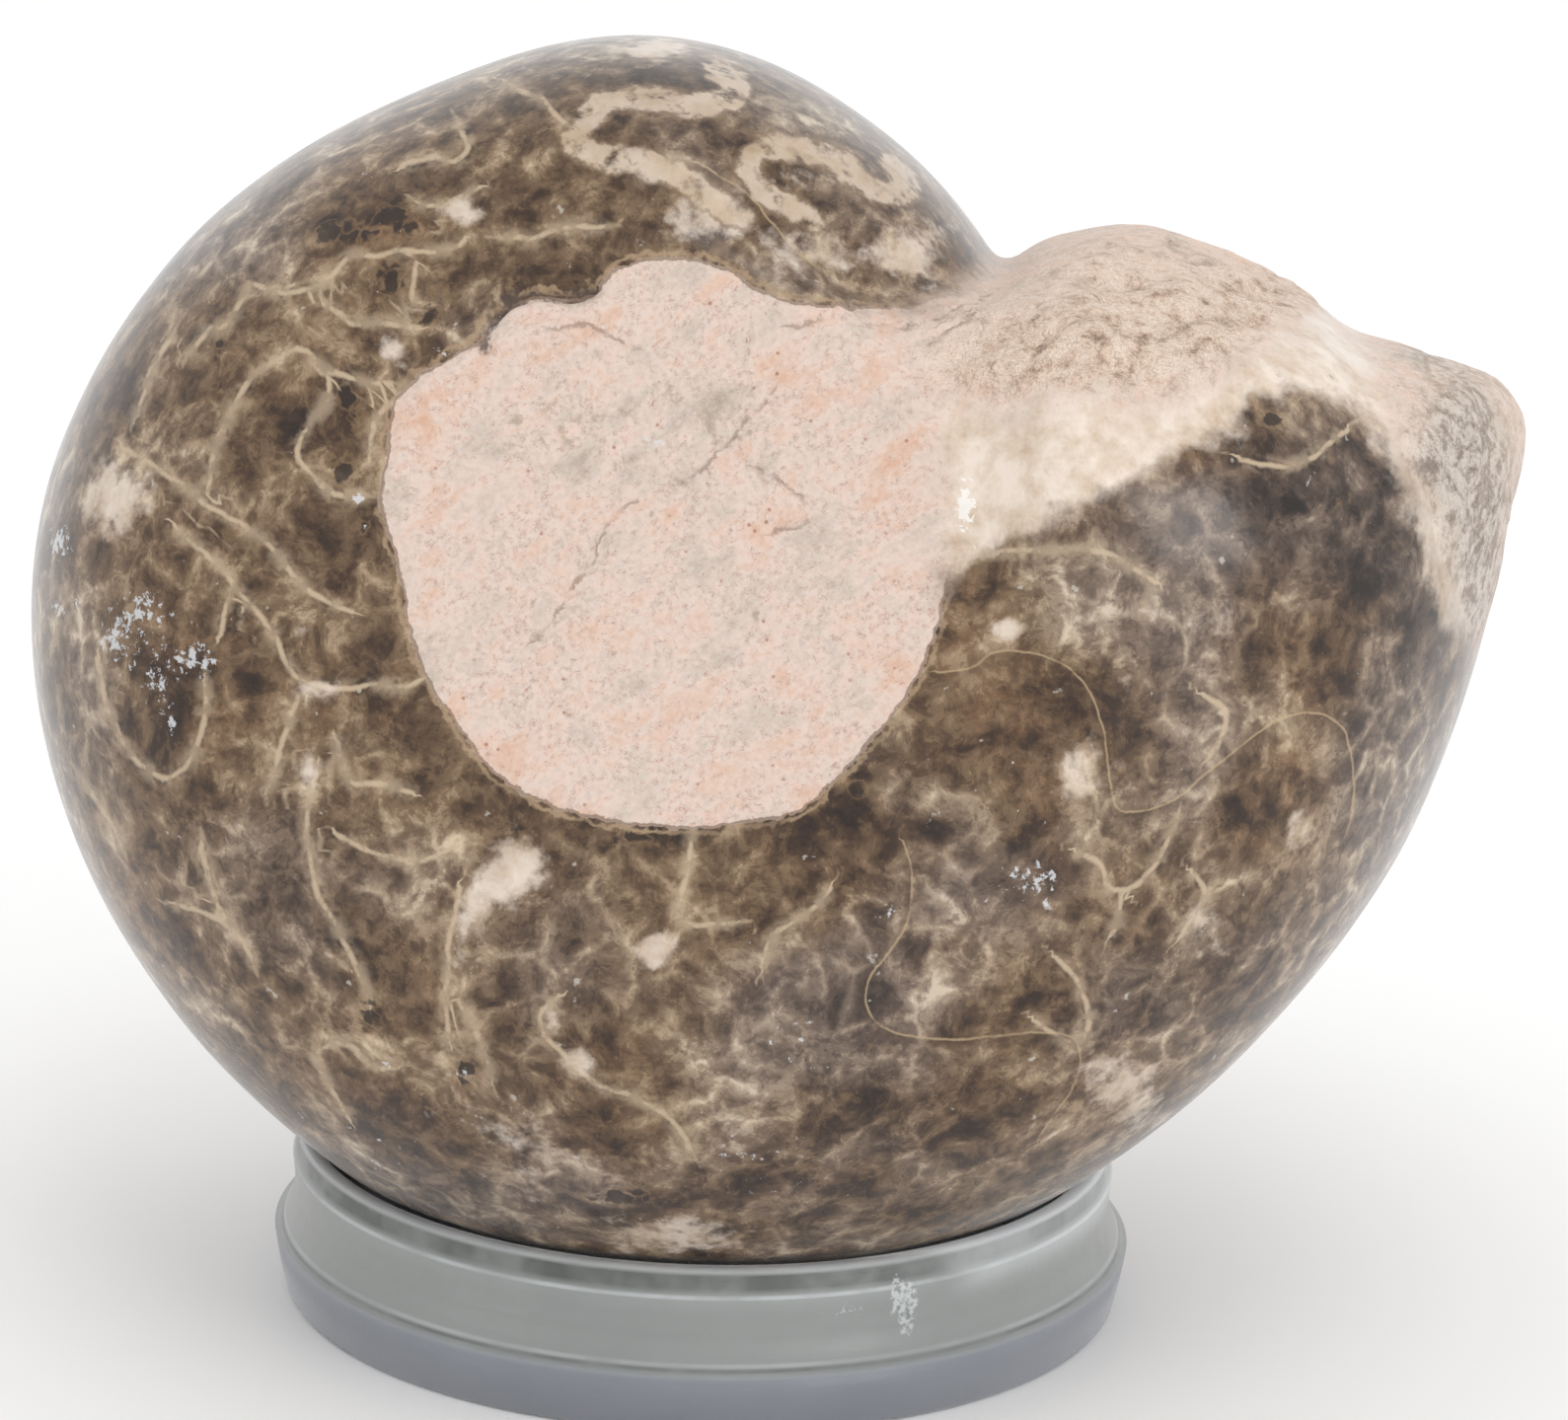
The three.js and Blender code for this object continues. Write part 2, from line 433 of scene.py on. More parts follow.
@dataclass(frozen=True)
class Trace:
    """Measures of outlines and strokes that are given in the photograph's pixels."""

    reach: float = 90.0
    steps: int = 3

    def smooth(self, line: Outline, closed: bool) -> np.ndarray:
        """Line through the given points with more points between them.

        Args:
            line: Points of the line.
            closed: Whether the last point joins the first.

        Returns:
            Catmull-Rom points along the line.
        """
        points = np.asarray(line, dtype=float)
        count = len(points)
        places = np.arange((count if closed else count - 1) * self.steps + 1) / self.steps
        i = np.floor(places).astype(int)
        around = [i + step for step in (-1, 0, 1, 2)]
        picks = [k % count if closed else np.clip(k, 0, count - 1) for k in around]
        return catmull_rom([points[k] for k in picks], (places - i)[:, None])

    def side_distance(self, pixels: np.ndarray, line: np.ndarray) -> tuple[np.ndarray, np.ndarray]:
        """Distance of each pixel to a line, and the same with the side's sign.

        Args:
            pixels: Pixel places, one row each.
            line: Points along the line.

        Returns:
            Distance and signed distance in millimetres, both large beyond reach.
        """
        nearest = np.full(len(pixels), self.reach)
        signed = nearest.copy()
        low, high = line.min(axis=0) - self.reach, line.max(axis=0) + self.reach
        near = np.flatnonzero(np.all((pixels > low) & (pixels < high), axis=1))
        place = pixels[near]
        best, side = nearest[near], signed[near]
        for start, stop in zip(line[:-1], line[1:]):
            stretch = stop - start
            length = max(float(stretch @ stretch), 1e-9)
            offset = place - start
            t = np.clip(offset @ stretch / length, 0.0, 1.0)
            gap = np.hypot(*(offset - t[:, None] * stretch).T)
            turn = np.where(stretch[0] * offset[:, 1] - stretch[1] * offset[:, 0] < 0.0, -1.0, 1.0)
            closer = gap < best
            best = np.where(closer, gap, best)
            side = np.where(closer, gap * turn, side)
        nearest[near], signed[near] = best, side
        return nearest / PIXELS_PER_MM, signed / PIXELS_PER_MM

    def inside(self, pixels: np.ndarray, ring: np.ndarray) -> np.ndarray:
        """Whether each pixel lies within a closed line.

        Args:
            pixels: Pixel places, one row each.
            ring: Points of the line, the last one on the first.

        Returns:
            True within, by the count of edges crossed to the right.
        """
        x, y = pixels.T
        within = np.zeros(len(pixels), dtype=bool)
        for (ax, ay), (bx, by) in zip(ring[:-1], ring[1:]):
            if ay == by:
                continue
            crossed = (ay > y) != (by > y)
            within ^= crossed & (x < (bx - ax) * (y - ay) / (by - ay) + ax)
        return within

    def area(self, pixels: np.ndarray, outline: Outline) -> np.ndarray:
        """Signed distance to a closed outline.

        Args:
            pixels: Pixel places, one row each.
            outline: The outline.

        Returns:
            Millimetres, below zero within it.
        """
        ring = self.smooth(outline, closed=True)
        gap, _ = self.side_distance(pixels, ring)
        return np.where(self.inside(pixels, ring), -gap, gap)

    def strokes(self, pixels: np.ndarray, lines: Iterable[Outline]) -> tuple[np.ndarray, np.ndarray]:
        """Distance and signed side distance to the nearest of several strokes.

        Args:
            pixels: Pixel places, one row each.
            lines: The strokes.

        Returns:
            Distance and signed distance in millimetres.
        """
        nearest = np.full(len(pixels), self.reach / PIXELS_PER_MM)
        signed = nearest.copy()
        for stroke in lines:
            gap, side = self.side_distance(pixels, self.smooth(stroke, closed=False))
            closer = gap < nearest
            nearest = np.where(closer, gap, nearest)
            signed = np.where(closer, side, signed)
        return nearest, signed

    def clouds(self, pixels: np.ndarray, blobs: Iterable[Cloud]) -> np.ndarray:
        """Sum of soft elliptical clouds.

        Args:
            pixels: Pixel places, one row each.
            blobs: Column, row, half width, half height and strength of each cloud.

        Returns:
            Sum of strength * exp(-((x - column) / half width)^2 - ((y - row) / half height)^2).
        """
        total = np.zeros(len(pixels))
        for column, row, half_width, half_height, strength in blobs:
            x = (pixels[:, 0] - column) / half_width
            y = (pixels[:, 1] - row) / half_height
            total += strength * np.exp(-x * x - y * y)
        return total


class CellDistance(Enum):
    """What a cell pattern measures."""

    CENTRE = "F1"
    EDGE = "DISTANCE_TO_EDGE"


class Tint(Enum):
    """Screen colours of the finishes' marks."""

    RUSTY_GRAIN = (126, 86, 52)
    PALE_FLECK = (206, 200, 190)
    VEIN = (190, 169, 142)
    RIBBON = (178, 152, 120)
    RIBBON_EDGE = (112, 88, 62)
    PIT = (38, 25, 17)
    PIT_RIM = (158, 128, 92)
    SUTURE = (180, 156, 122)
    SUTURE_SHADOW = (74, 54, 36)
    CALCITE_LIP = (172, 146, 116)
    # Painted shade in the crevice.
    CREVICE = (66, 52, 46)
    # Silvery crystal flakes, and painted highlights: the white streak on the cream ridge and the glossy
    # highlights by the crevice.
    FLAKE_AND_HIGHLIGHT_ON_BROWN = (206, 208, 211)
    FLAKE_AND_HIGHLIGHT_ON_CREAM = (244, 241, 236)
    FLAKE_AND_HIGHLIGHT_ON_LIMESTONE = (214, 216, 218)
    LIMESTONE_GRAIN = (168, 136, 118)
    LIMESTONE_HAIR = (146, 104, 84)
    LIMESTONE_RUST = (150, 92, 66)
    LIMESTONE_DIRT = (156, 140, 118)
    LIMESTONE_CRACK = (128, 106, 90)
    LIMESTONE_SEAM = (122, 96, 74)
    # Painted shade in the crevice where it crosses the limestone.
    LIMESTONE_CREVICE_SHADE = (74, 58, 50)
    WEATHERED_DARK = (118, 108, 100)
    WEATHERED_PALE = (202, 194, 186)
    WALL_DARK = (164, 168, 166)
    WALL_PALE = (184, 187, 185)
    FOOT_DARK = (144, 148, 156)
    FOOT_PALE = (160, 163, 171)
    # Painted shade and painted highlights of the ring: the shade line and the highlight line at the foot's
    # step, the shade on the neck band, and the highlight on the neck ridge and the rim's top.
    STEP_SHADE = (110, 112, 114)
    STEP_HIGHLIGHT = (222, 226, 226)
    NECK_SHADE = (92, 96, 92)
    RIDGE_HIGHLIGHT = (232, 236, 240)
    FLAKE_DARK = (150, 156, 154)
    FLAKE_PALE = (240, 243, 244)
    # Painted glow of the ring's bore, which gives off light though it is no lamp.
    PAINTED_GLOW = (150, 152, 154)


def linear(screen: Sequence[int]) -> tuple[float, ...]:
    """Scene colour of a screen colour: ((c + 0.055) / 1.055)^2.4 of each part, or c / 12.92 where dark."""
    parts = [part / 255.0 for part in screen]
    return tuple(c / 12.92 if c < 0.04045 else ((c + 0.055) / 1.055) ** 2.4 for c in parts)


@dataclass(frozen=True)
class Value:
    """Number carried by a shader socket, with the usual arithmetic."""

    graph: Graph
    socket: bpy.types.NodeSocket

    def __add__(self, other: Value | float) -> Value:
        """Sum."""
        return self.graph.math("ADD", self, other)

    def __sub__(self, other: Value | float) -> Value:
        """Difference."""
        return self.graph.math("SUBTRACT", self, other)

    def __rsub__(self, other: float) -> Value:
        """Difference from a number."""
        return self.graph.math("SUBTRACT", other, self)

    def __mul__(self, other: Value | float) -> Value:
        """Product."""
        return self.graph.math("MULTIPLY", self, other)

    __radd__ = __add__
    __rmul__ = __mul__

    def power(self, exponent: float) -> Value:
        """This value to a power."""
        return self.graph.math("POWER", self, exponent)

    def most(self, other: Value | float) -> Value:
        """Larger of this and another."""
        return self.graph.math("MAXIMUM", self, other)

    def ramp(self, low: float, high: float) -> Value:
        """Smooth step from 0 where this is low to 1 where it is high.

        Args:
            low: Value that gives 0.
            high: Value that gives 1; it may be the smaller one.

        Returns:
            The step.
        """
        settings = {"interpolation_type": "SMOOTHSTEP"}
        ends = {"From Min": min(low, high), "From Max": max(low, high)}
        step = self.graph.node("ShaderNodeMapRange", settings, {"Value": self, **ends})["Result"]
        return step if low < high else 1.0 - step

    def soft_line(self, half_width: float, fade: float) -> Value:
        """1 within a half width of zero, fading to 0 outside it."""
        return self.graph.math("ABSOLUTE", self).ramp(half_width + fade, half_width)


Input = Value | float | tuple[float, ...]
Inputs = dict[str | int, Input]


class Graph:
    """Node tree of one material, written as expressions."""

    mix_factor: int = 0
    mix_first_colour: int = 6
    mix_second_colour: int = 7

    def __init__(self, name: str) -> None:
        """Start an empty material.

        Args:
            name: Name of the material.
        """
        self.material = bpy.data.materials.new(name)
        self.material.use_nodes = True
        self.tree = self.material.node_tree
        self.tree.nodes.clear()

    def node(self, kind: str, settings: dict[str, object], inputs: Inputs) -> dict[str, Value]:
        """Add a node.

        Args:
            kind: Blender's name of the node type.
            settings: Attributes set on the node.
            inputs: Values or links of its sockets, by name or number.

        Returns:
            The node's enabled outputs by name.
        """
        node = self.tree.nodes.new(kind)
        for name, value in settings.items():
            setattr(node, name, value)
        for name, value in inputs.items():
            self.feed(node.inputs[name], value)
        return {socket.name: Value(self, socket) for socket in node.outputs if socket.enabled}

    def feed(self, socket: bpy.types.NodeSocket, value: Input) -> None:
        """Link a value to a socket, or set the socket's own number.

        Args:
            socket: Input socket.
            value: What it takes.
        """
        if isinstance(value, Value):
            self.tree.links.new(value.socket, socket)
        elif socket.type == "RGBA" and len(value) == 3:
            socket.default_value = (*value, 1.0)
        else:
            socket.default_value = value

    def math(self, operation: str, *operands: Value | float) -> Value:
        """Result of a math node on its operands in order."""
        return self.node("ShaderNodeMath", {"operation": operation}, dict(enumerate(operands)))["Value"]

    def vector_math(self, operation: str, inputs: Inputs) -> Value:
        """Vector result of a vector math node."""
        return self.node("ShaderNodeVectorMath", {"operation": operation}, inputs)["Vector"]

    def mix(self, share: Value | float, first: Input, second: Input) -> Value:
        """Blend of two colours, the share being the second one's."""
        inputs = {self.mix_factor: share, self.mix_first_colour: first, self.mix_second_colour: second}
        return self.node("ShaderNodeMix", {"data_type": "RGBA", "clamp_result": True}, inputs)["Result"]

    def blend(self, share: Value, first: Tint, second: Tint) -> Value:
        """Blend of two tints, the share being the second one's."""
        return self.mix(share, linear(first.value), linear(second.value))

    def paint(self, colour: Input, *layers: tuple[Value | float, Tint]) -> Input:
        """Lay tints over a colour.

        Args:
            colour: The colour.
            layers: Share and tint of each layer, from the first laid.

        Returns:
            The painted colour.
        """
        for share, tint in layers:
            colour = self.mix(share, colour, linear(tint.value))
        return colour

    def shades(self, value: Value, stops: Shades) -> Value:
        """Colour that passes through several shades as a value rises.

        Args:
            value: The value.
            stops: Value, red, green and blue of each shade, rising.

        Returns:
            The colour.
        """
        colour: Input = linear(stops[0][1:])
        for (low, *_), (high, *shade) in zip(stops[:-1], stops[1:]):
            colour = self.mix((value - low) * (1.0 / (high - low)), colour, linear(shade))
        return colour

    def attribute(self, name: str) -> Value:
        """Number stored on the mesh's points."""
        return self.node("ShaderNodeAttribute", {"attribute_name": name}, {})["Fac"]

    def place(self) -> Value:
        """Object coordinates in millimetres."""
        metres = self.node("ShaderNodeTexCoord", {}, {})["Object"]
        return self.vector_math("SCALE", {0: metres, "Scale": 1.0 / MM})

    def mapped(self, place: Value, settings: dict[str, object], inputs: Inputs) -> Value:
        """Place passed through a mapping node."""
        return self.node("ShaderNodeMapping", settings, {"Vector": place, **inputs})["Vector"]

    def warped(self, place: Value, period: float, detail: float, rough: float, reach: float) -> Value:
        """Place pushed about by a colour noise.

        Args:
            place: Place in millimetres.
            period: Period of the noise's largest features in millimetres.
            detail: Octaves.
            rough: Strength of each octave over the one before.
            reach: Millimetres moved for a full change of the noise.

        Returns:
            The new place.
        """
        pattern = self.noise(place, period, detail, rough, "Color")
        centred = self.vector_math("SUBTRACT", {0: pattern, 1: (0.5, 0.5, 0.5)})
        push = self.vector_math("SCALE", {0: centred, "Scale": reach})
        return self.vector_math("ADD", {0: place, 1: push})

    def noise(
        self, place: Value, period: float, detail: float = 3.0, rough: float = 0.5, output: str = "Fac"
    ) -> Value:
        """Noise around a half, of a period in millimetres, its octaves each rough times the one before."""
        inputs = {"Vector": place, "Scale": 1.0 / period, "Detail": detail, "Roughness": rough}
        return self.node("ShaderNodeTexNoise", {}, inputs)[output]

    def cells(self, place: Value, size: float, measure: CellDistance) -> Value:
        """Distance to the centre or edge of irregular cells of a size in millimetres."""
        inputs = {"Vector": place, "Scale": 1.0 / size}
        return self.node("ShaderNodeTexVoronoi", {"feature": measure.value}, inputs)["Distance"]

    def bump(self, height: Value, depth: float) -> Value:
        """Normal bent by a height from 0 to 1, with the depth of 1 in millimetres."""
        inputs = {"Height": height, "Distance": depth * MM, "Strength": 1.0}
        return self.node("ShaderNodeBump", {}, inputs)["Normal"]

    def shader(self, inputs: Inputs) -> Value:
        """Principled shader with the given sockets."""
        return self.node("ShaderNodeBsdfPrincipled", {}, inputs)["BSDF"]

    def mix_shaders(self, share: Value, first: Value, second: Value) -> Value:
        """One shader passing into another, the share being the second one's."""
        return self.node("ShaderNodeMixShader", {}, {0: share, 1: first, 2: second})["Shader"]

    def finish(self, shader: Value) -> bpy.types.Material:
        """The material, with a shader put on its surface."""
        self.node("ShaderNodeOutputMaterial", {}, {"Surface": shader})
        return self.material


def add_mesh(
    name: str, points: np.ndarray, faces: np.ndarray, material: bpy.types.Material
) -> bpy.types.Object:
    """Mesh object from whole arrays, smooth shaded.

    Args:
        name: Name of the piece.
        points: Places in metres, one row each.
        faces: Corner numbers of each face.
        material: Its material.

    Returns:
        The object, at the origin.
    """
    mesh = bpy.data.meshes.new(name)
    mesh.from_pydata(points.tolist(), [], faces.tolist())
    mesh.shade_smooth()
    mesh.materials.append(material)
    piece = bpy.data.objects.new(name, mesh)
    bpy.context.scene.collection.objects.link(piece)
    return piece


def store(piece: bpy.types.Object, name: str, values: np.ndarray) -> None:
    """Keep a number on each point of a piece, as a named attribute."""
    attribute = piece.data.attributes.new(name, "FLOAT", "POINT")
    attribute.data.foreach_set("value", values.astype(np.float32))


def facing(place: np.ndarray, right: np.ndarray, up: np.ndarray, back: np.ndarray) -> Matrix:
    """Transform of a camera or lamp from its place and its three directions."""
    columns = [np.append(direction, 0.0) for direction in (right, up, back)]
    return Matrix(np.stack([*columns, np.append(place, 1.0)], axis=1).tolist())


@dataclass(frozen=True)
class StoneFinish:
    """Polished brown calcite with pale limestone in the umbilicus and at the broken end."""

    grain: float = 3.0
    wander: float = 2.2
    stroke_gate: Point = (0.55, 0.2)
    halo_line: Point = (0.05, 0.75)
    vein_line: Point = (0.04, 0.24)
    suture_line: Point = (0.01, 0.1)
    crack_line: Point = (0.02, 0.2)
    streak_lean: float = -42.0
    streak_stretch: Place = (2.4, 1.0, 0.9)
    warm_calcite: Shades = (
        (-0.3, 32, 18, 9), (0.0, 57, 38, 24), (0.28, 89, 67, 46), (0.55, 119, 96, 72), (0.8, 154, 132, 106),
        (1.1, 203, 181, 152),
    )
    grey_calcite: Shades = (
        (-0.3, 34, 26, 22), (0.0, 60, 48, 41), (0.28, 88, 73, 63), (0.55, 117, 100, 87), (0.8, 151, 134, 116),
        (1.1, 199, 184, 164),
    )
    cream_calcite: Shades = ((0.25, 172, 147, 122), (0.42, 207, 188, 168), (0.6, 228, 214, 200))
    ground_limestone: Shades = (
        (0.0, 176, 163, 150), (0.28, 204, 189, 177), (0.52, 219, 199, 187), (0.75, 217, 187, 169),
        (1.05, 206, 162, 136),
    )
    broken_limestone: Shades = (
        (0.34, 140, 114, 94), (0.42, 196, 168, 146), (0.5, 222, 198, 178), (0.62, 236, 216, 198),
    )

    def stroke(self, graph: Graph, mark: str, line: Point, shift: Value) -> Value:
        """Line along traced strokes.

        Args:
            graph: The material.
            mark: Name of the strokes' pair of attributes.
            line: Half width of the line and of its faded edge in millimetres.
            shift: Sideways wander in millimetres.

        Returns:
            1 on the line, 0 away from it and beyond its ends.
        """
        edge = sum(line)
        near = graph.attribute(mark).ramp(edge + self.stroke_gate[0], edge + self.stroke_gate[1])
        return (graph.attribute(f"{mark}_side") + shift).soft_line(*line) * near

    def calcite(self, graph: Graph, place: Value, patches: Value) -> Value:
        """Brown mottled calcite with lighter joints between its grains and pale threads.

        Args:
            graph: The material.
            place: Place in millimetres.
            patches: Noise that breaks up the joints and threads.

        Returns:
            Its colour.
        """
        warp = graph.warped(place, 4.0, 2.0, 0.6, self.wander)
        hue = graph.noise(place, 10.0, 2.0) - 0.5
        edge = graph.cells(warp, self.grain, CellDistance.EDGE)
        joints = edge.ramp(0.12, 0.0) * patches.ramp(0.34, 0.6) * (hue.ramp(-0.14, 0.12) * 0.65 + 0.35)
        mottle = graph.noise(warp, 5.0, 5.0, 0.66)
        cloud = graph.noise(warp, 1.5, 5.0, 0.72)
        threads = (mottle - 0.52).soft_line(0.0, 0.02) * 0.5 + (cloud - 0.53).soft_line(0.0, 0.04) * 0.5
        tone = (mottle - 0.5) * 2.1 + (cloud - 0.5) * 1.8 - edge.ramp(0.02, 0.34) * 0.2 + 0.44
        tone = tone + graph.attribute("tone") * 0.3 + joints * 0.26
        tone = tone + threads * patches.ramp(0.62, 0.42) * 0.26
        # Greyer calcite under the grey clouds: grey calcite in the dark saddle and elsewhere, and at the left
        # edge, top left and lower right edge a painted reflection, the greyish veil of the polish.
        coolness = (hue * 3.0 + graph.attribute("grey") * 0.8 + 0.24).ramp(0.0, 1.0)
        warm, grey = graph.shades(tone, self.warm_calcite), graph.shades(tone, self.grey_calcite)
        rusty = hue.ramp(-0.02, -0.2) * mottle.ramp(0.42, 0.6) * 0.4
        flecks = patches.ramp(0.69, 0.74) * 0.5
        colour = graph.mix(coolness, warm, grey)
        return graph.paint(colour, (rusty, Tint.RUSTY_GRAIN), (flecks, Tint.PALE_FLECK))

    def limestone(self, graph: Graph, place: Value) -> Value:
        """Pale pink and orange limestone with grey clouds, fine streaks and rusty specks.

        Args:
            graph: The material.
            place: Place in millimetres.

        Returns:
            Its colour.
        """
        turn = {"Rotation": (0.0, math.radians(self.streak_lean), 0.0), "Scale": self.streak_stretch}
        leaning = graph.mapped(place, {"vector_type": "TEXTURE"}, turn)
        streaks = graph.noise(leaning, 2.2, 5.0, 0.74)
        cloud = graph.noise(graph.warped(place, 5.0, 1.0, 0.5, 5.0), 3.0, 6.0, 0.78)
        shift = graph.attribute("rust") * 0.17 - graph.attribute("stain") * 0.14
        tone = (cloud - 0.5) * 1.5 + (streaks - 0.5) * 1.6 + shift + 0.49
        grain = graph.noise(place, 0.35, 2.0, 0.6).ramp(0.35, 0.7)
        hairs = (cloud - 0.47).soft_line(0.0, 0.011).most((streaks - 0.53).soft_line(0.0, 0.012) * 0.8)
        rusty = graph.cells(place, 1.3, CellDistance.CENTRE).ramp(0.12, 0.04) * streaks.ramp(0.4, 0.55)
        dirty = graph.attribute("stain") * 1.3 + (graph.noise(place, 0.8, 4.0, 0.75) - 0.5) * 3.4
        colour = graph.paint(
            graph.shades(tone, self.ground_limestone),
            (grain * 0.2, Tint.LIMESTONE_GRAIN),
            (hairs * grain * 0.75, Tint.LIMESTONE_HAIR),
            (rusty * 0.75, Tint.LIMESTONE_RUST),
            (dirty.ramp(0.7, 1.3) * 0.6, Tint.LIMESTONE_DIRT),
        )
        pits = graph.noise(place, 1.1, 5.0, 0.8)
        broken = graph.shades(pits + (cloud - 0.5) * 0.6 + 0.02, self.broken_limestone)
        colour = graph.mix(graph.attribute("hump") * 0.85, colour, broken)
        weathered = graph.blend(pits.ramp(0.4, 0.58), Tint.WEATHERED_DARK, Tint.WEATHERED_PALE)
        colour = graph.mix(graph.attribute("grey").ramp(0.2, 1.0) * 0.75, colour, weathered)
        wander = (graph.noise(place, 1.4, 4.0, 0.7) - 0.5) * 1.6
        crack = self.stroke(graph, "crack", self.crack_line, wander) * graph.noise(place, 1.1).ramp(0.36, 0.6)
        return graph.paint(colour, (crack * 0.62, Tint.LIMESTONE_CRACK))

    def material(self) -> bpy.types.Material:
        """Make the material: polished calcite, and ground limestone where the traced outline holds it.

        Returns:
            The material.
        """
        graph = Graph("polished_fossil")
        place = graph.place()
        edge_noise = graph.noise(place, 2.2, 5.0, 0.62) - 0.5
        fine_noise = graph.noise(place, 0.9, 3.0, 0.6) - 0.5
        patches = graph.noise(place, 1.3, 3.0, 0.6)
        broken_up = patches.ramp(0.34, 0.58) * 0.7 + 0.3
        edging = graph.attribute("edging")
        matrix = graph.attribute("matrix") + edge_noise * 0.9 + fine_noise * 0.3
        soft = (matrix + edge_noise * 2.6).ramp(1.4, -1.4)
        pale = soft + (matrix.ramp(0.08, -0.08) - soft) * edging

        halo = self.stroke(graph, "vein", self.halo_line, edge_noise * 1.2) * patches.ramp(0.62, 0.4)
        vein = self.stroke(graph, "vein", self.vein_line, edge_noise * 0.7) * broken_up
        calcite = self.calcite(graph, place, patches)
        colour = graph.paint(calcite, ((vein * 0.9).most(halo * 0.5), Tint.VEIN))

        cream_colour = graph.shades(graph.noise(place, 2.4, 5.0, 0.66), self.cream_calcite)
        cream = (graph.attribute("cream") + edge_noise * 3.6 + fine_noise * 1.0).ramp(0.9, -0.9)
        blot = (graph.attribute("pale") + edge_noise * 1.7 + fine_noise * 0.8).ramp(0.36, 0.9)
        colour = graph.mix(cream.most(blot * 0.8), colour, cream_colour)

        ribbon = graph.attribute("ribbon") + edge_noise * 1.9 + fine_noise * 0.6
        ribbon_share = ribbon.ramp(0.25, -0.25) * patches.ramp(0.3, 0.5) * 0.85
        ribbon_edge = (ribbon - 0.1).soft_line(0.06, 0.16) * broken_up
        colour = graph.mix(ribbon_share, colour, graph.paint(cream_colour, (0.45, Tint.RIBBON)))

        walls = graph.cells(graph.warped(place, 1.4, 2.0, 0.6, 1.4), 1.7, CellDistance.EDGE).ramp(0.16, 0.02)
        hollow = graph.attribute("hollow") + edge_noise * 1.5 + fine_noise * 0.7 - walls * 0.4
        pit_rim = (hollow - 0.3).soft_line(0.0, 0.16) * broken_up
        suture = self.stroke(graph, "suture", self.suture_line, edge_noise * 0.5)
        suture = suture * (patches.ramp(0.3, 0.55) * 0.7 + 0.3)
        side = graph.attribute("suture_side")
        beside = side.ramp(0.8, 0.1) * side.ramp(0.0, 0.12) * graph.attribute("suture").ramp(1.3, 0.9)
        lip = (matrix - 0.34 - fine_noise * 1.4).soft_line(0.04, 0.18) * edging * (broken_up * 0.6 + 0.3)
        # Painted shade along the crevice, darkening its shallow furrow.
        crevice = (graph.attribute("crevice") + fine_noise * 1.6).ramp(0.42, 0.1) * 0.85
        colour = graph.paint(
            colour,
            (ribbon_edge * 0.55, Tint.RIBBON_EDGE),
            (hollow.ramp(0.42, 0.62) * 0.85, Tint.PIT),
            (pit_rim * 0.26, Tint.PIT_RIM),
            (beside * 0.35, Tint.SUTURE_SHADOW),
            (suture * 0.66, Tint.SUTURE),
            (lip * 0.75, Tint.CALCITE_LIP),
            (crevice, Tint.CREVICE),
        )

        # Silvery crystal flakes of the calcite, and painted highlights: the white streak on the cream ridge
        # and the glossy highlights by the crevice.
        glitter = (graph.noise(place, 0.5, 3.0, 0.7) - 0.5) * 4.0
        flakes_and_highlights = (graph.attribute("flake_and_highlight") + (patches - 0.5) * 1.2 + glitter).ramp(0.95, 1.3)
        flake_and_highlight_tint = graph.blend(cream, Tint.FLAKE_AND_HIGHLIGHT_ON_BROWN, Tint.FLAKE_AND_HIGHLIGHT_ON_CREAM)
        polished = graph.shader(
            {
                "Base Color": graph.mix(flakes_and_highlights * 0.8, colour, flake_and_highlight_tint),
                "Roughness": patches * 0.16 + vein * 0.1 + 0.12,
                "IOR": 1.46,
                "Sheen Weight": 0.13,
                "Sheen Roughness": 0.4,
                "Normal": graph.bump(graph.noise(place, 0.8, 1.0), 0.012),
            }
        )

        seam = (matrix - 0.06 + fine_noise * 0.3).soft_line(0.02, 0.11) * edging
        # The crevice's painted shade is laid on the limestone too.
        stone = graph.paint(
            self.limestone(graph, place),
            (crevice, Tint.LIMESTONE_CREVICE_SHADE),
            (seam * 0.8, Tint.LIMESTONE_SEAM),
            (flakes_and_highlights * 0.6, Tint.FLAKE_AND_HIGHLIGHT_ON_LIMESTONE),
        )
        rough = graph.attribute("hump")
        crumbs = graph.noise(place, 0.8, 3.0, 0.72) * (rough * 0.9 + 0.1)
        ground = graph.shader(
            {
                "Base Color": stone,
                "Roughness": rough * 0.2 + patches * 0.14 + 0.42,
                "IOR": 1.5,
                "Normal": graph.bump(crumbs, 0.8),
            }
        )
        return graph.finish(graph.mix_shaders(pale.most(seam), polished, ground))


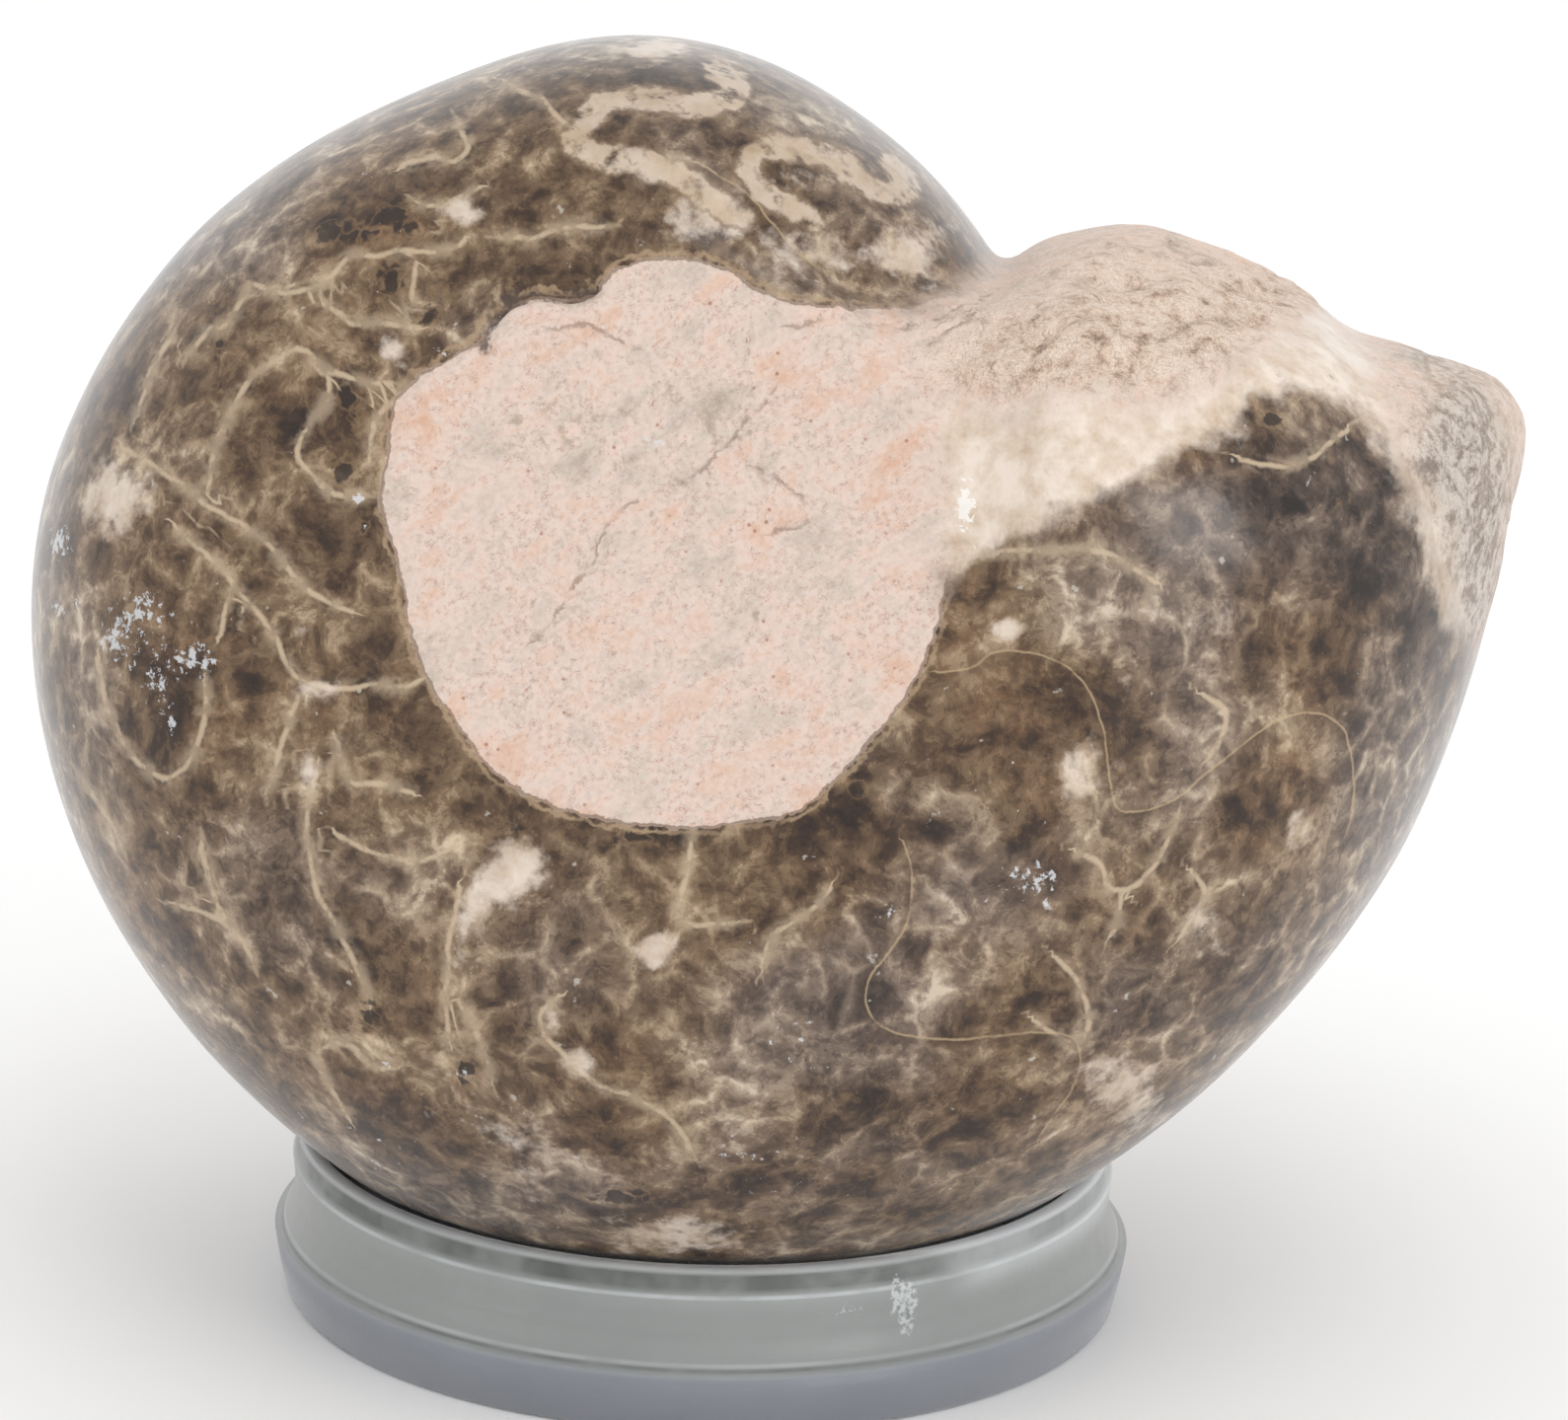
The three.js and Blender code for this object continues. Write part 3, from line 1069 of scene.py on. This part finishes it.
@dataclass(frozen=True)
class FrostedPlasticFinish:
    """Grey translucent plastic with a fine frosted face, heights in millimetres over the floor.

    The painted edge lines are a painted shade line and a painted highlight line at the foot's step and a
    painted
    highlight on the ridge under the rim: height, half width and fade of each. The other pairs are heights or
    radii between which a mark comes in, among them the painted shade of the neck band, the painted highlight
    of the rim's top and the painted glow of the bore.
    """

    # Painted shade line and painted highlight line at the foot's step, and painted highlight on the neck
    # ridge.
    painted_edge_lines: tuple[Place, ...] = ((3.85, 0.04, 0.1), (4.1, 0.02, 0.14), (7.95, 0.03, 0.14))
    foot_top: Point = (3.8, 3.4)
    # Heights between which the painted shade of the neck band comes in and goes out.
    neck_shade_foot: Point = (8.0, 8.5)
    neck_shade_top: Point = (9.35, 9.15)
    # Heights where the painted highlight on the rim's top comes in.
    rim: Point = (9.3, 9.45)
    bore_radius: Point = (23.3, 22.9)
    # Heights and strength of the painted glow on the bore, standing in for light passing through the plastic
    # into the gap under the stone.
    painted_glow_height: Point = (6.0, 8.0)
    painted_glow_strength: float = 0.44
    lathe_stretch: Place = (0.12, 0.12, 6.0)

    def material(self) -> bpy.types.Material:
        """Make the material.

        Returns:
            The material.
        """
        graph = Graph("frosted_plastic")
        place = graph.place()
        x, y, height = graph.node("ShaderNodeSeparateXYZ", {}, {"Vector": place}).values()
        tone = graph.noise(place, 7.0, 4.0, 0.6)
        wall = graph.blend(tone, Tint.WALL_DARK, Tint.WALL_PALE)
        foot = graph.blend(tone, Tint.FOOT_DARK, Tint.FOOT_PALE)
        uneven = graph.noise(place, 5.0, 3.0, 0.6).ramp(0.34, 0.62) * 0.6 + 0.4
        # Painted shade at the foot's step, painted highlight just above it, and painted highlight on the neck
        # ridge.
        lines = [(height - level).soft_line(*line) * uneven for level, *line in self.painted_edge_lines]
        painted_step_shade, painted_step_highlight, ridge = lines
        # Painted shade on the neck band under the rim.
        painted_neck_shade = height.ramp(*self.neck_shade_foot) * height.ramp(*self.neck_shade_top) * uneven
        colour = graph.paint(
            graph.mix(height.ramp(*self.foot_top), wall, foot),
            (painted_step_shade * 0.6, Tint.STEP_SHADE),
            (painted_step_highlight * 0.5, Tint.STEP_HIGHLIGHT),
            (painted_neck_shade * 0.85, Tint.NECK_SHADE),
            # Painted highlight on the neck ridge and on the rim's top.
            (ridge.most(height.ramp(*self.rim)) * 0.6, Tint.RIDGE_HIGHLIGHT),
        )
        crumbled = graph.noise(place, 0.35, 3.0, 0.7) - 0.5
        chip = (graph.attribute("chip") + crumbled * 1.4).ramp(0.4, 0.7)
        flakes = graph.blend(crumbled.ramp(-0.14, 0.08), Tint.FLAKE_DARK, Tint.FLAKE_PALE)
        colour = graph.mix(chip * 0.8, colour, flakes)
        # Painted glow: the bore's upper face gives off light so that the gap under the stone reads lit.
        painted_bore_glow = (x * x + y * y).power(0.5).ramp(*self.bore_radius) * height.ramp(*self.painted_glow_height)
        turned = graph.mapped(place, {}, {"Scale": self.lathe_stretch})
        lathe_marks = graph.noise(turned, 1.0, 2.0, 0.5)
        frost = graph.noise(place, 0.3, 2.0, 0.5)
        scuffs = graph.noise(place, 3.0, 4.0, 0.65).ramp(0.5, 0.7)
        plastic = graph.shader(
            {
                "Base Color": colour,
                "Roughness": scuffs * 0.12 + chip * 0.2 + 0.34,
                "IOR": 1.49,
                "Transmission Weight": 0.3,
                "Subsurface Weight": 0.7,
                "Subsurface Radius": (1.0, 1.0, 1.0),
                "Subsurface Scale": 0.0025,
                "Sheen Weight": 0.4,
                "Sheen Roughness": 0.35,
                "Emission Color": graph.paint((0.0, 0.0, 0.0), (painted_bore_glow, Tint.PAINTED_GLOW)),
                "Emission Strength": self.painted_glow_strength,
                "Normal": graph.bump(lathe_marks * 0.3 + frost * 0.5 + chip * 0.6, 0.04),
            }
        )
        graph.material.cycles.emission_sampling = "NONE"
        return graph.finish(plastic)


@dataclass(frozen=True)
class FloorFinish:
    """Plain pale floor."""

    def material(self) -> bpy.types.Material:
        """Make the material.

        Returns:
            The material.
        """
        graph = Graph("floor")
        colour = graph.mix(graph.noise(graph.place(), 60.0), (0.97, 0.97, 0.97), (0.99, 0.99, 0.99))
        return graph.finish(graph.shader({"Base Color": colour, "Roughness": 0.6}))


# Traced outlines and strokes, as columns and rows of the photograph.
MATRIX: Outline = (
    (600, 293), (640, 266), (700, 262), (740, 275), (775, 298), (830, 308), (880, 312), (920, 310),
    (960, 300), (990, 285), (1010, 266), (1020, 225), (1080, 200), (1160, 195), (1260, 225), (1350, 270),
    (1420, 310), (1530, 350), (1600, 420), (1600, 560), (1540, 640), (1500, 660), (1480, 628), (1468, 567),
    (1451, 510), (1425, 470), (1410, 440), (1400, 400), (1375, 345), (1341, 318), (1317, 330), (1276, 351),
    (1235, 391), (1194, 416), (1162, 422), (1121, 408), (1072, 406), (999, 424), (955, 418), (960, 500),
    (960, 570), (955, 610), (940, 660), (915, 710), (880, 750), (845, 790), (810, 820), (760, 833),
    (700, 838), (640, 835), (580, 822), (530, 800), (490, 770), (455, 720), (430, 680), (415, 640),
    (405, 580), (395, 540), (385, 500), (395, 440), (405, 400), (440, 370), (485, 345), (490, 330),
    (505, 310), (545, 298),
)
CREAM: Outline = (
    (925, 380), (999, 388), (1072, 372), (1121, 374), (1162, 388), (1190, 380), (1215, 357), (1256, 322),
    (1300, 298), (1345, 280), (1400, 320), (1430, 385), (1455, 450), (1481, 505), (1500, 567), (1500, 640),
    (1462, 610), (1450, 560), (1430, 505), (1398, 445), (1366, 410), (1317, 398), (1268, 408), (1251, 446),
    (1211, 446), (1178, 463), (1146, 487), (1084, 512), (1023, 548), (962, 569), (925, 560), (920, 470),
)
RIBBONS: tuple[Outline, ...] = (
    (
        (752, 222), (715, 200), (690, 178), (654, 167), (619, 160), (584, 149), (595, 121), (619, 102),
        (654, 100), (696, 105), (731, 102), (748, 93), (745, 83), (724, 69),
    ),
    (
        (826, 226), (798, 205), (777, 195), (760, 170), (767, 156), (788, 149), (816, 153), (844, 160),
        (872, 184), (903, 198), (917, 188), (903, 163),
    ),
)
VEINS: tuple[Outline, ...] = (
    ((126, 453), (178, 488), (214, 515), (249, 535), (278, 559), (306, 592), (332, 610), (357, 620)),
    (
        (176, 533), (199, 554), (224, 574), (240, 597), (260, 617), (276, 638), (286, 663), (302, 688),
        (331, 697),
    ),
    ((331, 697), (354, 699), (381, 693), (410, 697), (428, 688)),
    ((240, 597), (230, 612), (224, 643)),
    ((99, 667), (108, 709), (123, 747), (143, 776), (173, 788), (196, 764), (208, 726), (208, 691)),
    (
        (224, 439), (232, 418), (255, 383), (286, 360), (306, 352), (319, 365), (332, 378), (334, 398),
        (322, 421),
    ),
    ((209, 510), (219, 449), (224, 439)),
    ((319, 372), (347, 380), (378, 388), (408, 390)),
    ((306, 439), (301, 459), (306, 474), (321, 480), (327, 495), (347, 503), (367, 503)),
    ((375, 459), (378, 429), (393, 408), (408, 403)),
    (
        (250, 286), (286, 296), (316, 291), (339, 276), (357, 260), (388, 258), (408, 253), (439, 255),
        (469, 245),
    ),
    ((421, 265), (416, 301), (423, 306)),
    ((423, 204), (444, 209), (474, 196), (485, 191)),
    ((515, 240), (541, 242), (566, 232), (592, 230), (612, 232)),
    ((194, 357), (214, 332), (224, 332), (245, 306), (250, 286)),
    ((316, 306), (342, 316), (357, 327), (388, 327), (423, 332)),
    ((138, 423), (148, 388), (158, 367), (173, 342)),
    ((464, 128), (474, 148), (459, 163), (439, 158), (408, 168)),
    ((510, 82), (531, 92), (551, 102), (561, 117), (577, 128)),
    ((321, 777), (310, 841), (321, 900), (342, 942), (364, 985), (375, 1017)),
    ((342, 846), (375, 862), (417, 873), (455, 862)),
    ((177, 916), (214, 926), (241, 948), (257, 975)),
    ((466, 900), (458, 940), (455, 975), (452, 1028), (455, 1055)),
    ((466, 1012), (487, 1055), (498, 1092)),
    ((396, 1082), (375, 1080), (353, 1060), (321, 1065), (332, 1098), (353, 1135)),
    ((566, 1009), (549, 1025), (552, 1045), (567, 1062), (605, 1098), (642, 1112), (680, 1135), (701, 1167)),
    ((701, 846), (696, 889), (690, 932), (745, 937)),
    ((300, 707), (284, 760), (273, 798)),
    ((342, 750), (353, 793), (385, 793), (417, 803)),
    ((80, 782), (107, 825), (123, 857)),
    ((203, 857), (214, 900), (235, 942)),
    ((1092, 864), (1114, 875), (1125, 901), (1151, 896), (1178, 864), (1194, 827)),
    ((1135, 907), (1133, 934), (1125, 950)),
    ((1210, 885), (1221, 907), (1194, 950)),
    ((771, 979), (782, 950), (804, 934), (830, 918), (841, 901)),
    ((1221, 704), (1242, 720), (1237, 752), (1226, 768)),
    ((1050, 1035), (1092, 1057), (1103, 1025), (1092, 992), (1071, 971)),
    ((962, 569), (1000, 562), (1040, 558), (1085, 556), (1120, 560), (1154, 578), (1171, 590)),
    ((1256, 465), (1301, 473), (1335, 459), (1363, 437)),
    ((1443, 482), (1465, 533), (1465, 573), (1460, 612)),
)
SUTURES: tuple[Outline, ...] = (
    (
        (949, 680), (985, 677), (1006, 660), (1050, 663), (1087, 679), (1108, 709), (1119, 746), (1125, 794),
        (1135, 821), (1167, 819), (1199, 805), (1232, 776), (1264, 752), (1296, 730), (1333, 722),
        (1360, 736), (1371, 768), (1373, 811), (1365, 848),
    ),
    (
        (916, 853), (924, 885), (921, 928), (900, 966), (881, 992), (878, 1019), (894, 1041), (921, 1051),
        (964, 1054), (1018, 1049), (1060, 1046), (1087, 1051), (1095, 1073), (1087, 1105), (1066, 1132),
        (1052, 1156),
    ),
    ((710, 167), (745, 188), (767, 205), (780, 223), (802, 249), (830, 272)),
)
CRACKS: tuple[Outline, ...] = (
    (
        (784, 392), (765, 416), (737, 449), (710, 474), (672, 496), (639, 512), (611, 532), (603, 562),
        (587, 584),
    ),
    ((587, 584), (562, 630), (540, 650)),
    ((540, 334), (567, 330), (589, 331), (617, 340), (641, 353)),
    ((762, 471), (802, 493), (819, 527), (785, 539)),
    ((1180, 345), (1215, 325), (1250, 322), (1285, 330)),
    ((1190, 247), (1210, 262), (1240, 268)),
    ((800, 330), (850, 322), (905, 330), (950, 322), (1000, 300)),
    ((945, 345), (965, 330), (985, 322)),
    ((1425, 330), (1445, 352), (1450, 380)),
    ((1480, 380), (1500, 420), (1510, 470), (1500, 540)),
)
CREVICE: tuple[Outline, ...] = (
    ((600, 291), (575, 298), (548, 297), (520, 300), (503, 310), (492, 330), (488, 352)),
)

# Soft clouds of the photograph: column, row, half width, half height and strength.
CLOUDS: dict[str, tuple[Cloud, ...]] = {
    "pale": (
        (118, 505, 38, 38, 1.1), (400, 352, 26, 28, 0.7), (465, 215, 26, 20, 0.9), (520, 878, 36, 40, 1.1),
        (480, 930, 18, 40, 0.7), (462, 985, 10, 40, 0.6), (665, 962, 26, 24, 1.0), (585, 1078, 24, 20, 0.9),
        (560, 1035, 16, 26, 0.7), (500, 1150, 70, 60, 0.4), (683, 1252, 72, 22, 0.85),
        (1021, 640, 18, 14, 1.0), (1092, 784, 30, 34, 1.0), (1130, 1090, 44, 36, 0.8),
        (1222, 940, 32, 32, 0.55), (1314, 840, 32, 40, 0.5), (660, 50, 42, 12, 1.0), (720, 215, 50, 36, 0.8),
        (800, 262, 50, 28, 0.8), (910, 262, 44, 30, 0.8), (830, 175, 50, 20, 0.45), (327, 698, 24, 12, 0.7),
        (312, 800, 18, 60, 0.5), (300, 640, 16, 36, 0.45), (1240, 620, 60, 36, 0.5),
        (1140, 690, 20, 30, 0.45), (560, 1185, 60, 26, 0.4), (1160, 1130, 40, 24, 0.5),
        (960, 960, 34, 30, 0.35), (1400, 440, 30, 24, 0.4), (860, 90, 110, 50, 0.35), (950, 230, 40, 60, 0.3),
        (560, 75, 90, 24, 0.3),
    ),
    "dark": (
        (1310, 520, 130, 60, 0.75), (1400, 565, 46, 60, 0.9), (1280, 458, 60, 20, 0.8),
        (370, 228, 60, 24, 0.8), (392, 280, 28, 28, 0.7), (350, 405, 22, 24, 0.8), (345, 470, 24, 30, 0.8),
        (240, 415, 40, 50, 0.6), (290, 330, 30, 25, 0.5), (160, 690, 50, 60, 0.7), (830, 1000, 70, 60, 0.6),
        (750, 1200, 130, 36, 0.8), (440, 1195, 70, 30, 0.8), (1065, 890, 44, 44, 1.1),
        (1000, 760, 44, 40, 0.7), (640, 850, 70, 16, 0.9), (420, 735, 44, 30, 0.9), (1130, 1010, 40, 40, 0.9),
        (900, 1110, 70, 46, 0.6), (1040, 1190, 90, 26, 0.5), (880, 830, 40, 24, 0.9), (600, 940, 40, 40, 0.4),
        (240, 640, 24, 50, 0.5), (130, 560, 30, 24, 0.5), (560, 1000, 60, 24, 0.2), (780, 900, 60, 50, 0.3),
        (1060, 700, 40, 34, 0.6), (520, 200, 70, 40, 0.35), (680, 80, 60, 12, 0.3), (680, 135, 50, 16, 0.4),
        (860, 210, 30, 18, 0.4), (1240, 830, 60, 50, 0.35), (680, 960, 150, 90, 0.35),
    ),
    # Grey calcite and weathered limestone; the clouds at the left edge, top left and lower right edge are a
    # painted reflection, the greyish veil of the polish.
    "grey": (
        (1290, 520, 180, 90, 1.2), (1400, 800, 80, 160, 0.8), (190, 215, 80, 70, 0.8),
        (700, 60, 120, 40, 0.8), (860, 130, 90, 60, 1.2), (1030, 890, 70, 60, 0.9), (830, 1040, 90, 60, 0.9),
        (550, 1220, 120, 40, 0.6), (340, 420, 120, 120, -0.8), (280, 640, 120, 80, -0.7),
        (780, 900, 150, 60, -0.6), (520, 180, 120, 60, -0.6), (1060, 720, 90, 50, -0.5),
        (120, 900, 60, 120, 0.5), (70, 500, 30, 160, 0.5), (1485, 470, 50, 120, 1.0),
        (1440, 350, 50, 20, 0.6), (1475, 610, 40, 60, 1.0),
    ),
    "hollow": (
        (348, 236, 34, 11, 1.1), (405, 222, 26, 16, 1.0), (392, 282, 18, 20, 0.9), (350, 404, 13, 15, 1.1),
        (345, 474, 14, 17, 1.0), (362, 440, 10, 12, 0.8), (432, 315, 12, 18, 0.9), (222, 347, 12, 12, 0.9),
        (468, 1086, 15, 15, 1.0), (630, 1212, 34, 8, 0.9), (640, 846, 28, 9, 0.9), (868, 800, 12, 9, 1.0),
        (370, 533, 9, 9, 0.9), (240, 1015, 9, 9, 0.6), (375, 1030, 12, 22, 0.8), (1290, 424, 12, 9, 0.9),
        (1340, 392, 14, 12, 0.7), (480, 940, 10, 30, 0.6),
    ),
    # Silvery crystal flakes, and painted highlights on the cream ridge and by the crevice.
    "flake_and_highlight": (
        (61, 550, 14, 20, 1.3), (58, 615, 9, 9, 1.2), (76, 613, 9, 9, 1.1), (142, 622, 30, 28, 1.2),
        (114, 650, 14, 14, 1.3), (202, 668, 22, 18, 1.4), (173, 735, 12, 14, 1.1), (155, 685, 34, 36, 0.8),
        (372, 180, 7, 7, 1.2), (363, 505, 10, 11, 1.5), (371, 534, 5, 5, 1.0), (468, 1087, 6, 6, 1.4),
        (503, 322, 9, 20, 1.0), (595, 296, 12, 6, 1.0), (1045, 890, 40, 24, 0.9), (905, 925, 16, 10, 0.7),
        (990, 912, 14, 14, 0.7), (460, 357, 24, 7, 1.0), (978, 515, 12, 44, 1.6), (663, 449, 14, 8, 1.2),
        (370, 1160, 60, 40, 0.4), (760, 1180, 60, 40, 0.5), (820, 1060, 50, 30, 0.5),
        (1000, 830, 60, 40, 0.4), (395, 1080, 9, 6, 1.0),
    ),
    "stain": (
        (570, 430, 70, 60, 0.6), (700, 400, 60, 36, 0.55), (740, 440, 60, 40, 0.5), (560, 350, 50, 16, 0.5),
        (690, 500, 40, 22, 0.45), (610, 575, 46, 20, 0.45), (545, 645, 30, 18, 0.5), (660, 520, 5, 5, 1.2),
        (765, 624, 5, 5, 1.4), (772, 481, 4, 4, 1.2), (802, 449, 4, 4, 1.0), (524, 425, 5, 5, 1.0),
        (832, 537, 4, 4, 1.0), (1439, 363, 10, 8, 1.3), (1520, 436, 12, 18, 1.2), (1492, 465, 10, 12, 1.2),
        (1516, 510, 10, 12, 1.2), (1190, 247, 16, 12, 1.0), (1231, 265, 14, 8, 1.0), (1272, 320, 14, 10, 1.2),
        (1296, 300, 10, 8, 1.0), (1500, 560, 20, 40, 0.6), (560, 300, 40, 8, 0.9), (890, 340, 60, 24, 0.35),
        (1475, 480, 60, 130, 0.4),
    ),
    "rust": (
        (430, 420, 30, 60, 1.0), (480, 400, 60, 20, 0.7), (600, 355, 60, 24, 0.8), (540, 640, 60, 20, 0.6),
        (900, 560, 30, 120, 0.7), (640, 830, 160, 20, 0.8), (900, 720, 40, 40, 0.8), (440, 560, 24, 60, 0.4),
        (700, 640, 90, 60, -0.5), (1000, 380, 60, 26, 0.9), (820, 400, 60, 40, 0.4),
        (1200, 210, 120, 20, 0.6),
    ),
    "hump": (
        (1080, 350, 110, 50, 1.0), (1200, 320, 110, 70, 1.0), (1280, 300, 60, 34, 0.5),
        (1000, 370, 60, 30, 0.6), (1480, 460, 60, 110, 0.8), (1120, 270, 60, 30, 0.4),
    ),
}


@dataclass(frozen=True)
class Ammonite:
    """The fossil with its filled umbilicus, lengths in millimetres."""

    coil: Coil = field(default_factory=Coil)
    grid: BlownCube = field(default_factory=lambda: BlownCube((140, 140, 104)))
    camera: PhotoCamera = field(default_factory=PhotoCamera)
    trace: Trace = field(default_factory=Trace)
    pale_tone: float = 0.4
    ribbon_half_width: float = 0.72
    soft_edge_columns: Point = (1280.0, 1380.0)
    saddle_columns: Point = (840.0, 980.0)
    saddle_rows: Point = (640.0, 570.0)
    wave_height: float = 0.06
    crumb_height: float = 0.5
    groove: Point = (0.16, 0.35)
    crack: Point = (0.12, 0.3)
    crevice: Point = (0.7, 0.5)
    relief_start: Point = (12.0, 17.0)

    def marks(self, pixels: np.ndarray) -> dict[str, np.ndarray]:
        """Measure every traced mark.

        Args:
            pixels: Where each point is seen from the front.

        Returns:
            One number for each point, by attribute.
        """
        trace = self.trace
        found = {name: trace.clouds(pixels, blobs) for name, blobs in CLOUDS.items()}
        found["tone"] = found["pale"] * self.pale_tone - found.pop("dark")
        found |= {"matrix": trace.area(pixels, MATRIX), "cream": trace.area(pixels, CREAM)}
        for name, lines in (("vein", VEINS), ("suture", SUTURES), ("crack", CRACKS)):
            found[name], found[f"{name}_side"] = trace.strokes(pixels, lines)
        found["ribbon"] = trace.strokes(pixels, RIBBONS)[0] - self.ribbon_half_width
        found["crevice"] = trace.strokes(pixels, CREVICE)[0]
        found["hump"] = np.clip(found["hump"], 0.0, 1.0) * smooth_ramp(-found["matrix"], -0.2, 0.6)
        column, row = pixels.T
        saddle = smooth_ramp(column, *self.saddle_columns) * smooth_ramp(row, *self.saddle_rows)
        found["edging"] = 1.0 - np.maximum(saddle, smooth_ramp(column, *self.soft_edge_columns))
        return found

    def relief(self, points: np.ndarray, marks: dict[str, np.ndarray]) -> np.ndarray:
        """Small relief laid on the solved form.

        Args:
            points: Surface points about the ring's axis.
            marks: The measured marks.

        Returns:
            Millimetres out along each ray: soft waves everywhere, crumbs on the broken end, and furrows at
            the limestone's edge, along its cracks and in the crevice, all fading out above the ring.
        """
        waves = self.wave_height * LatticeNoise(seed=3).layered(points, period=9.0)
        ledges = np.abs(LatticeNoise(seed=5).layered(points, period=5.0))
        ledges = ledges + 0.35 * LatticeNoise(seed=6).layered(points, period=1.4)
        crumbs = self.crumb_height * (2.0 * ledges - 0.5) * marks["hump"]
        groove = furrow(marks["matrix"], self.groove) * marks["edging"]
        crack = furrow(marks["crack"], self.crack) * (marks["matrix"] < 0.0)
        uneven = 0.6 + 0.6 * LatticeNoise(seed=7).layered(points, period=1.6)
        vug = furrow(marks["crevice"], self.crevice) * uneven
        return (waves + crumbs - groove - crack - vug) * smooth_ramp(points[:, 2], *self.relief_start)

    def build(self, origin: np.ndarray) -> bpy.types.Object:
        """Make the piece.

        Args:
            origin: The ring's axis on the floor, in metres.

        Returns:
            The piece.
        """
        points, rays, faces = self.grid.solve(self.coil.field, self.coil.axes())
        marks = self.marks(self.camera.project(self.coil.front_twin(points)))
        points = points + rays * self.relief(points, marks)[:, None]
        piece = add_mesh("fossil", points * MM + origin, faces, StoneFinish().material())
        for name, values in marks.items():
            store(piece, name, values)
        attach(piece, "root")
        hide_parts("ammonite")
        return piece


@dataclass(frozen=True)
class RingStand:
    """Turned ring of frosted plastic, its section in millimetres from the axis and the floor."""

    section: tuple[Point, ...] = (
        (21.2, 0.0), (24.0, 0.0), (24.35, 0.3), (24.75, 2.0), (25.0, 3.55), (24.65, 3.7), (24.2, 4.5),
        (23.85, 5.6), (23.85, 6.8), (24.0, 7.9), (23.8, 8.2), (23.75, 9.35), (23.55, 9.55), (22.9, 9.55),
        (21.2, 7.0),
    )
    chip: tuple[Cloud, ...] = (
        (915, 1312, 15, 16, 1.2), (918, 1336, 8, 12, 1.0), (880, 1318, 34, 3, 0.6), (860, 1330, 30, 4, 0.5),
    )
    sides: int = 720
    camera: PhotoCamera = field(default_factory=PhotoCamera)

    def build(self, origin: np.ndarray) -> bpy.types.Object:
        """Make the piece: the section turned round the axis, radius * (cos, sin) at each height.

        Args:
            origin: The ring's axis on the floor, in metres.

        Returns:
            The piece.
        """
        section = np.asarray(self.section)
        turn = np.linspace(0.0, 2.0 * math.pi, self.sides, endpoint=False)[:, None]
        radius, height = section.T
        points = np.stack([radius * np.cos(turn), radius * np.sin(turn), height + 0.0 * turn], axis=-1)
        row, column = np.meshgrid(np.arange(self.sides), np.arange(len(section)), indexing="ij")
        next_row, next_column = (row + 1) % self.sides, (column + 1) % len(section)
        corners = [(row, column), (next_row, column), (next_row, next_column), (row, next_column)]
        faces = np.stack([i * len(section) + j for i, j in corners], axis=-1).reshape(-1, 4)
        points = points.reshape(-1, 3)
        piece = add_mesh("ring", points * MM + origin, faces, FrostedPlasticFinish().material())
        front = points[:, 1] < 0.0
        store(piece, "chip", Trace().clouds(self.camera.project(points), self.chip) * front)
        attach(piece, "root")
        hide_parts("ring_stand")
        return piece


@dataclass(frozen=True)
class Lamp:
    """Soft square light, in metres and watts."""

    name: str
    place: Place
    target: Place
    size: float
    power: float

    def build(self) -> None:
        """Make the light, facing its target."""
        data = bpy.data.lights.new(self.name, "AREA")
        data.size = self.size
        data.energy = self.power
        lamp = bpy.data.objects.new(self.name, data)
        back = np.array(self.place) - np.array(self.target)
        back = back / np.linalg.norm(back)
        side = np.cross((0.0, 0.0, 1.0), back)
        side = side / np.linalg.norm(side)
        lamp.matrix_world = facing(np.array(self.place), side, np.cross(back, side), back)
        bpy.context.scene.collection.objects.link(lamp)


@dataclass(frozen=True)
class Studio:
    """Pale floor, soft light and the photograph's camera, lengths in metres."""

    camera: PhotoCamera = field(default_factory=PhotoCamera)
    floor_half: float = 4.0
    near_clip: float = 0.01
    lamps: tuple[Lamp, ...] = (
        Lamp("key", (0.1, -0.4, 0.85), (0.0, 0.0, 0.03), 0.4, 0.8),
        Lamp("window", (0.6, -0.69, 0.25), (0.026, -0.024, 0.053), 0.3, 1.0),
    )

    def floor(self) -> None:
        """Make the floor."""
        h = self.floor_half
        corners = np.array([(-h, -h, 0.0), (h, -h, 0.0), (h, h, 0.0), (-h, h, 0.0)])
        floor = add_mesh("floor", corners, np.array([[0, 1, 2, 3]]), FloorFinish().material())

    def world(self) -> None:
        """Make an even white surround."""
        world = bpy.data.worlds.new("surround")
        world.use_nodes = True
        background = world.node_tree.nodes["Background"]
        background.inputs["Color"].default_value = (1.0, 1.0, 1.0, 1.0)
        background.inputs["Strength"].default_value = 1.0
        bpy.context.scene.world = world
        bpy.context.scene.view_settings.view_transform = "Standard"

    def place_camera(self, origin: np.ndarray) -> None:
        """Make the camera.

        Args:
            origin: The ring's axis on the floor, in metres.
        """
        view = self.camera
        data = bpy.data.cameras.new("camera")
        data.sensor_fit = "HORIZONTAL"
        data.sensor_width = view.sensor
        data.lens = view.focal_pixels() * view.sensor / view.width
        data.clip_start = self.near_clip
        camera = bpy.data.objects.new("camera", data)
        camera.matrix_world = facing(view.position() * MM + origin, *view.axes())
        bpy.context.scene.collection.objects.link(camera)
        bpy.context.scene.camera = camera

    def build(self, origin: np.ndarray) -> None:
        """Make everything that isn't the object.

        Args:
            origin: The ring's axis on the floor, in metres.
        """
        self.floor()
        self.world()
        self.place_camera(origin)
        for lamp in self.lamps:
            lamp.build()


def main() -> None:
    """Build the scene in order."""
    logging.basicConfig(level=logging.INFO, format="%(name)s: %(message)s")
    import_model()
    low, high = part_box("ring_stand")
    origin = np.array([(low.x + high.x) / 2, (low.y + high.y) / 2, low.z])
    for maker in (Ammonite(), RingStand()):
        piece = maker.build(origin)
        LOG.info("%s: %d points", piece.name, len(piece.data.vertices))
    Studio().build(origin)
    LOG.info("studio ready")


if __name__ == "__main__":
    main()
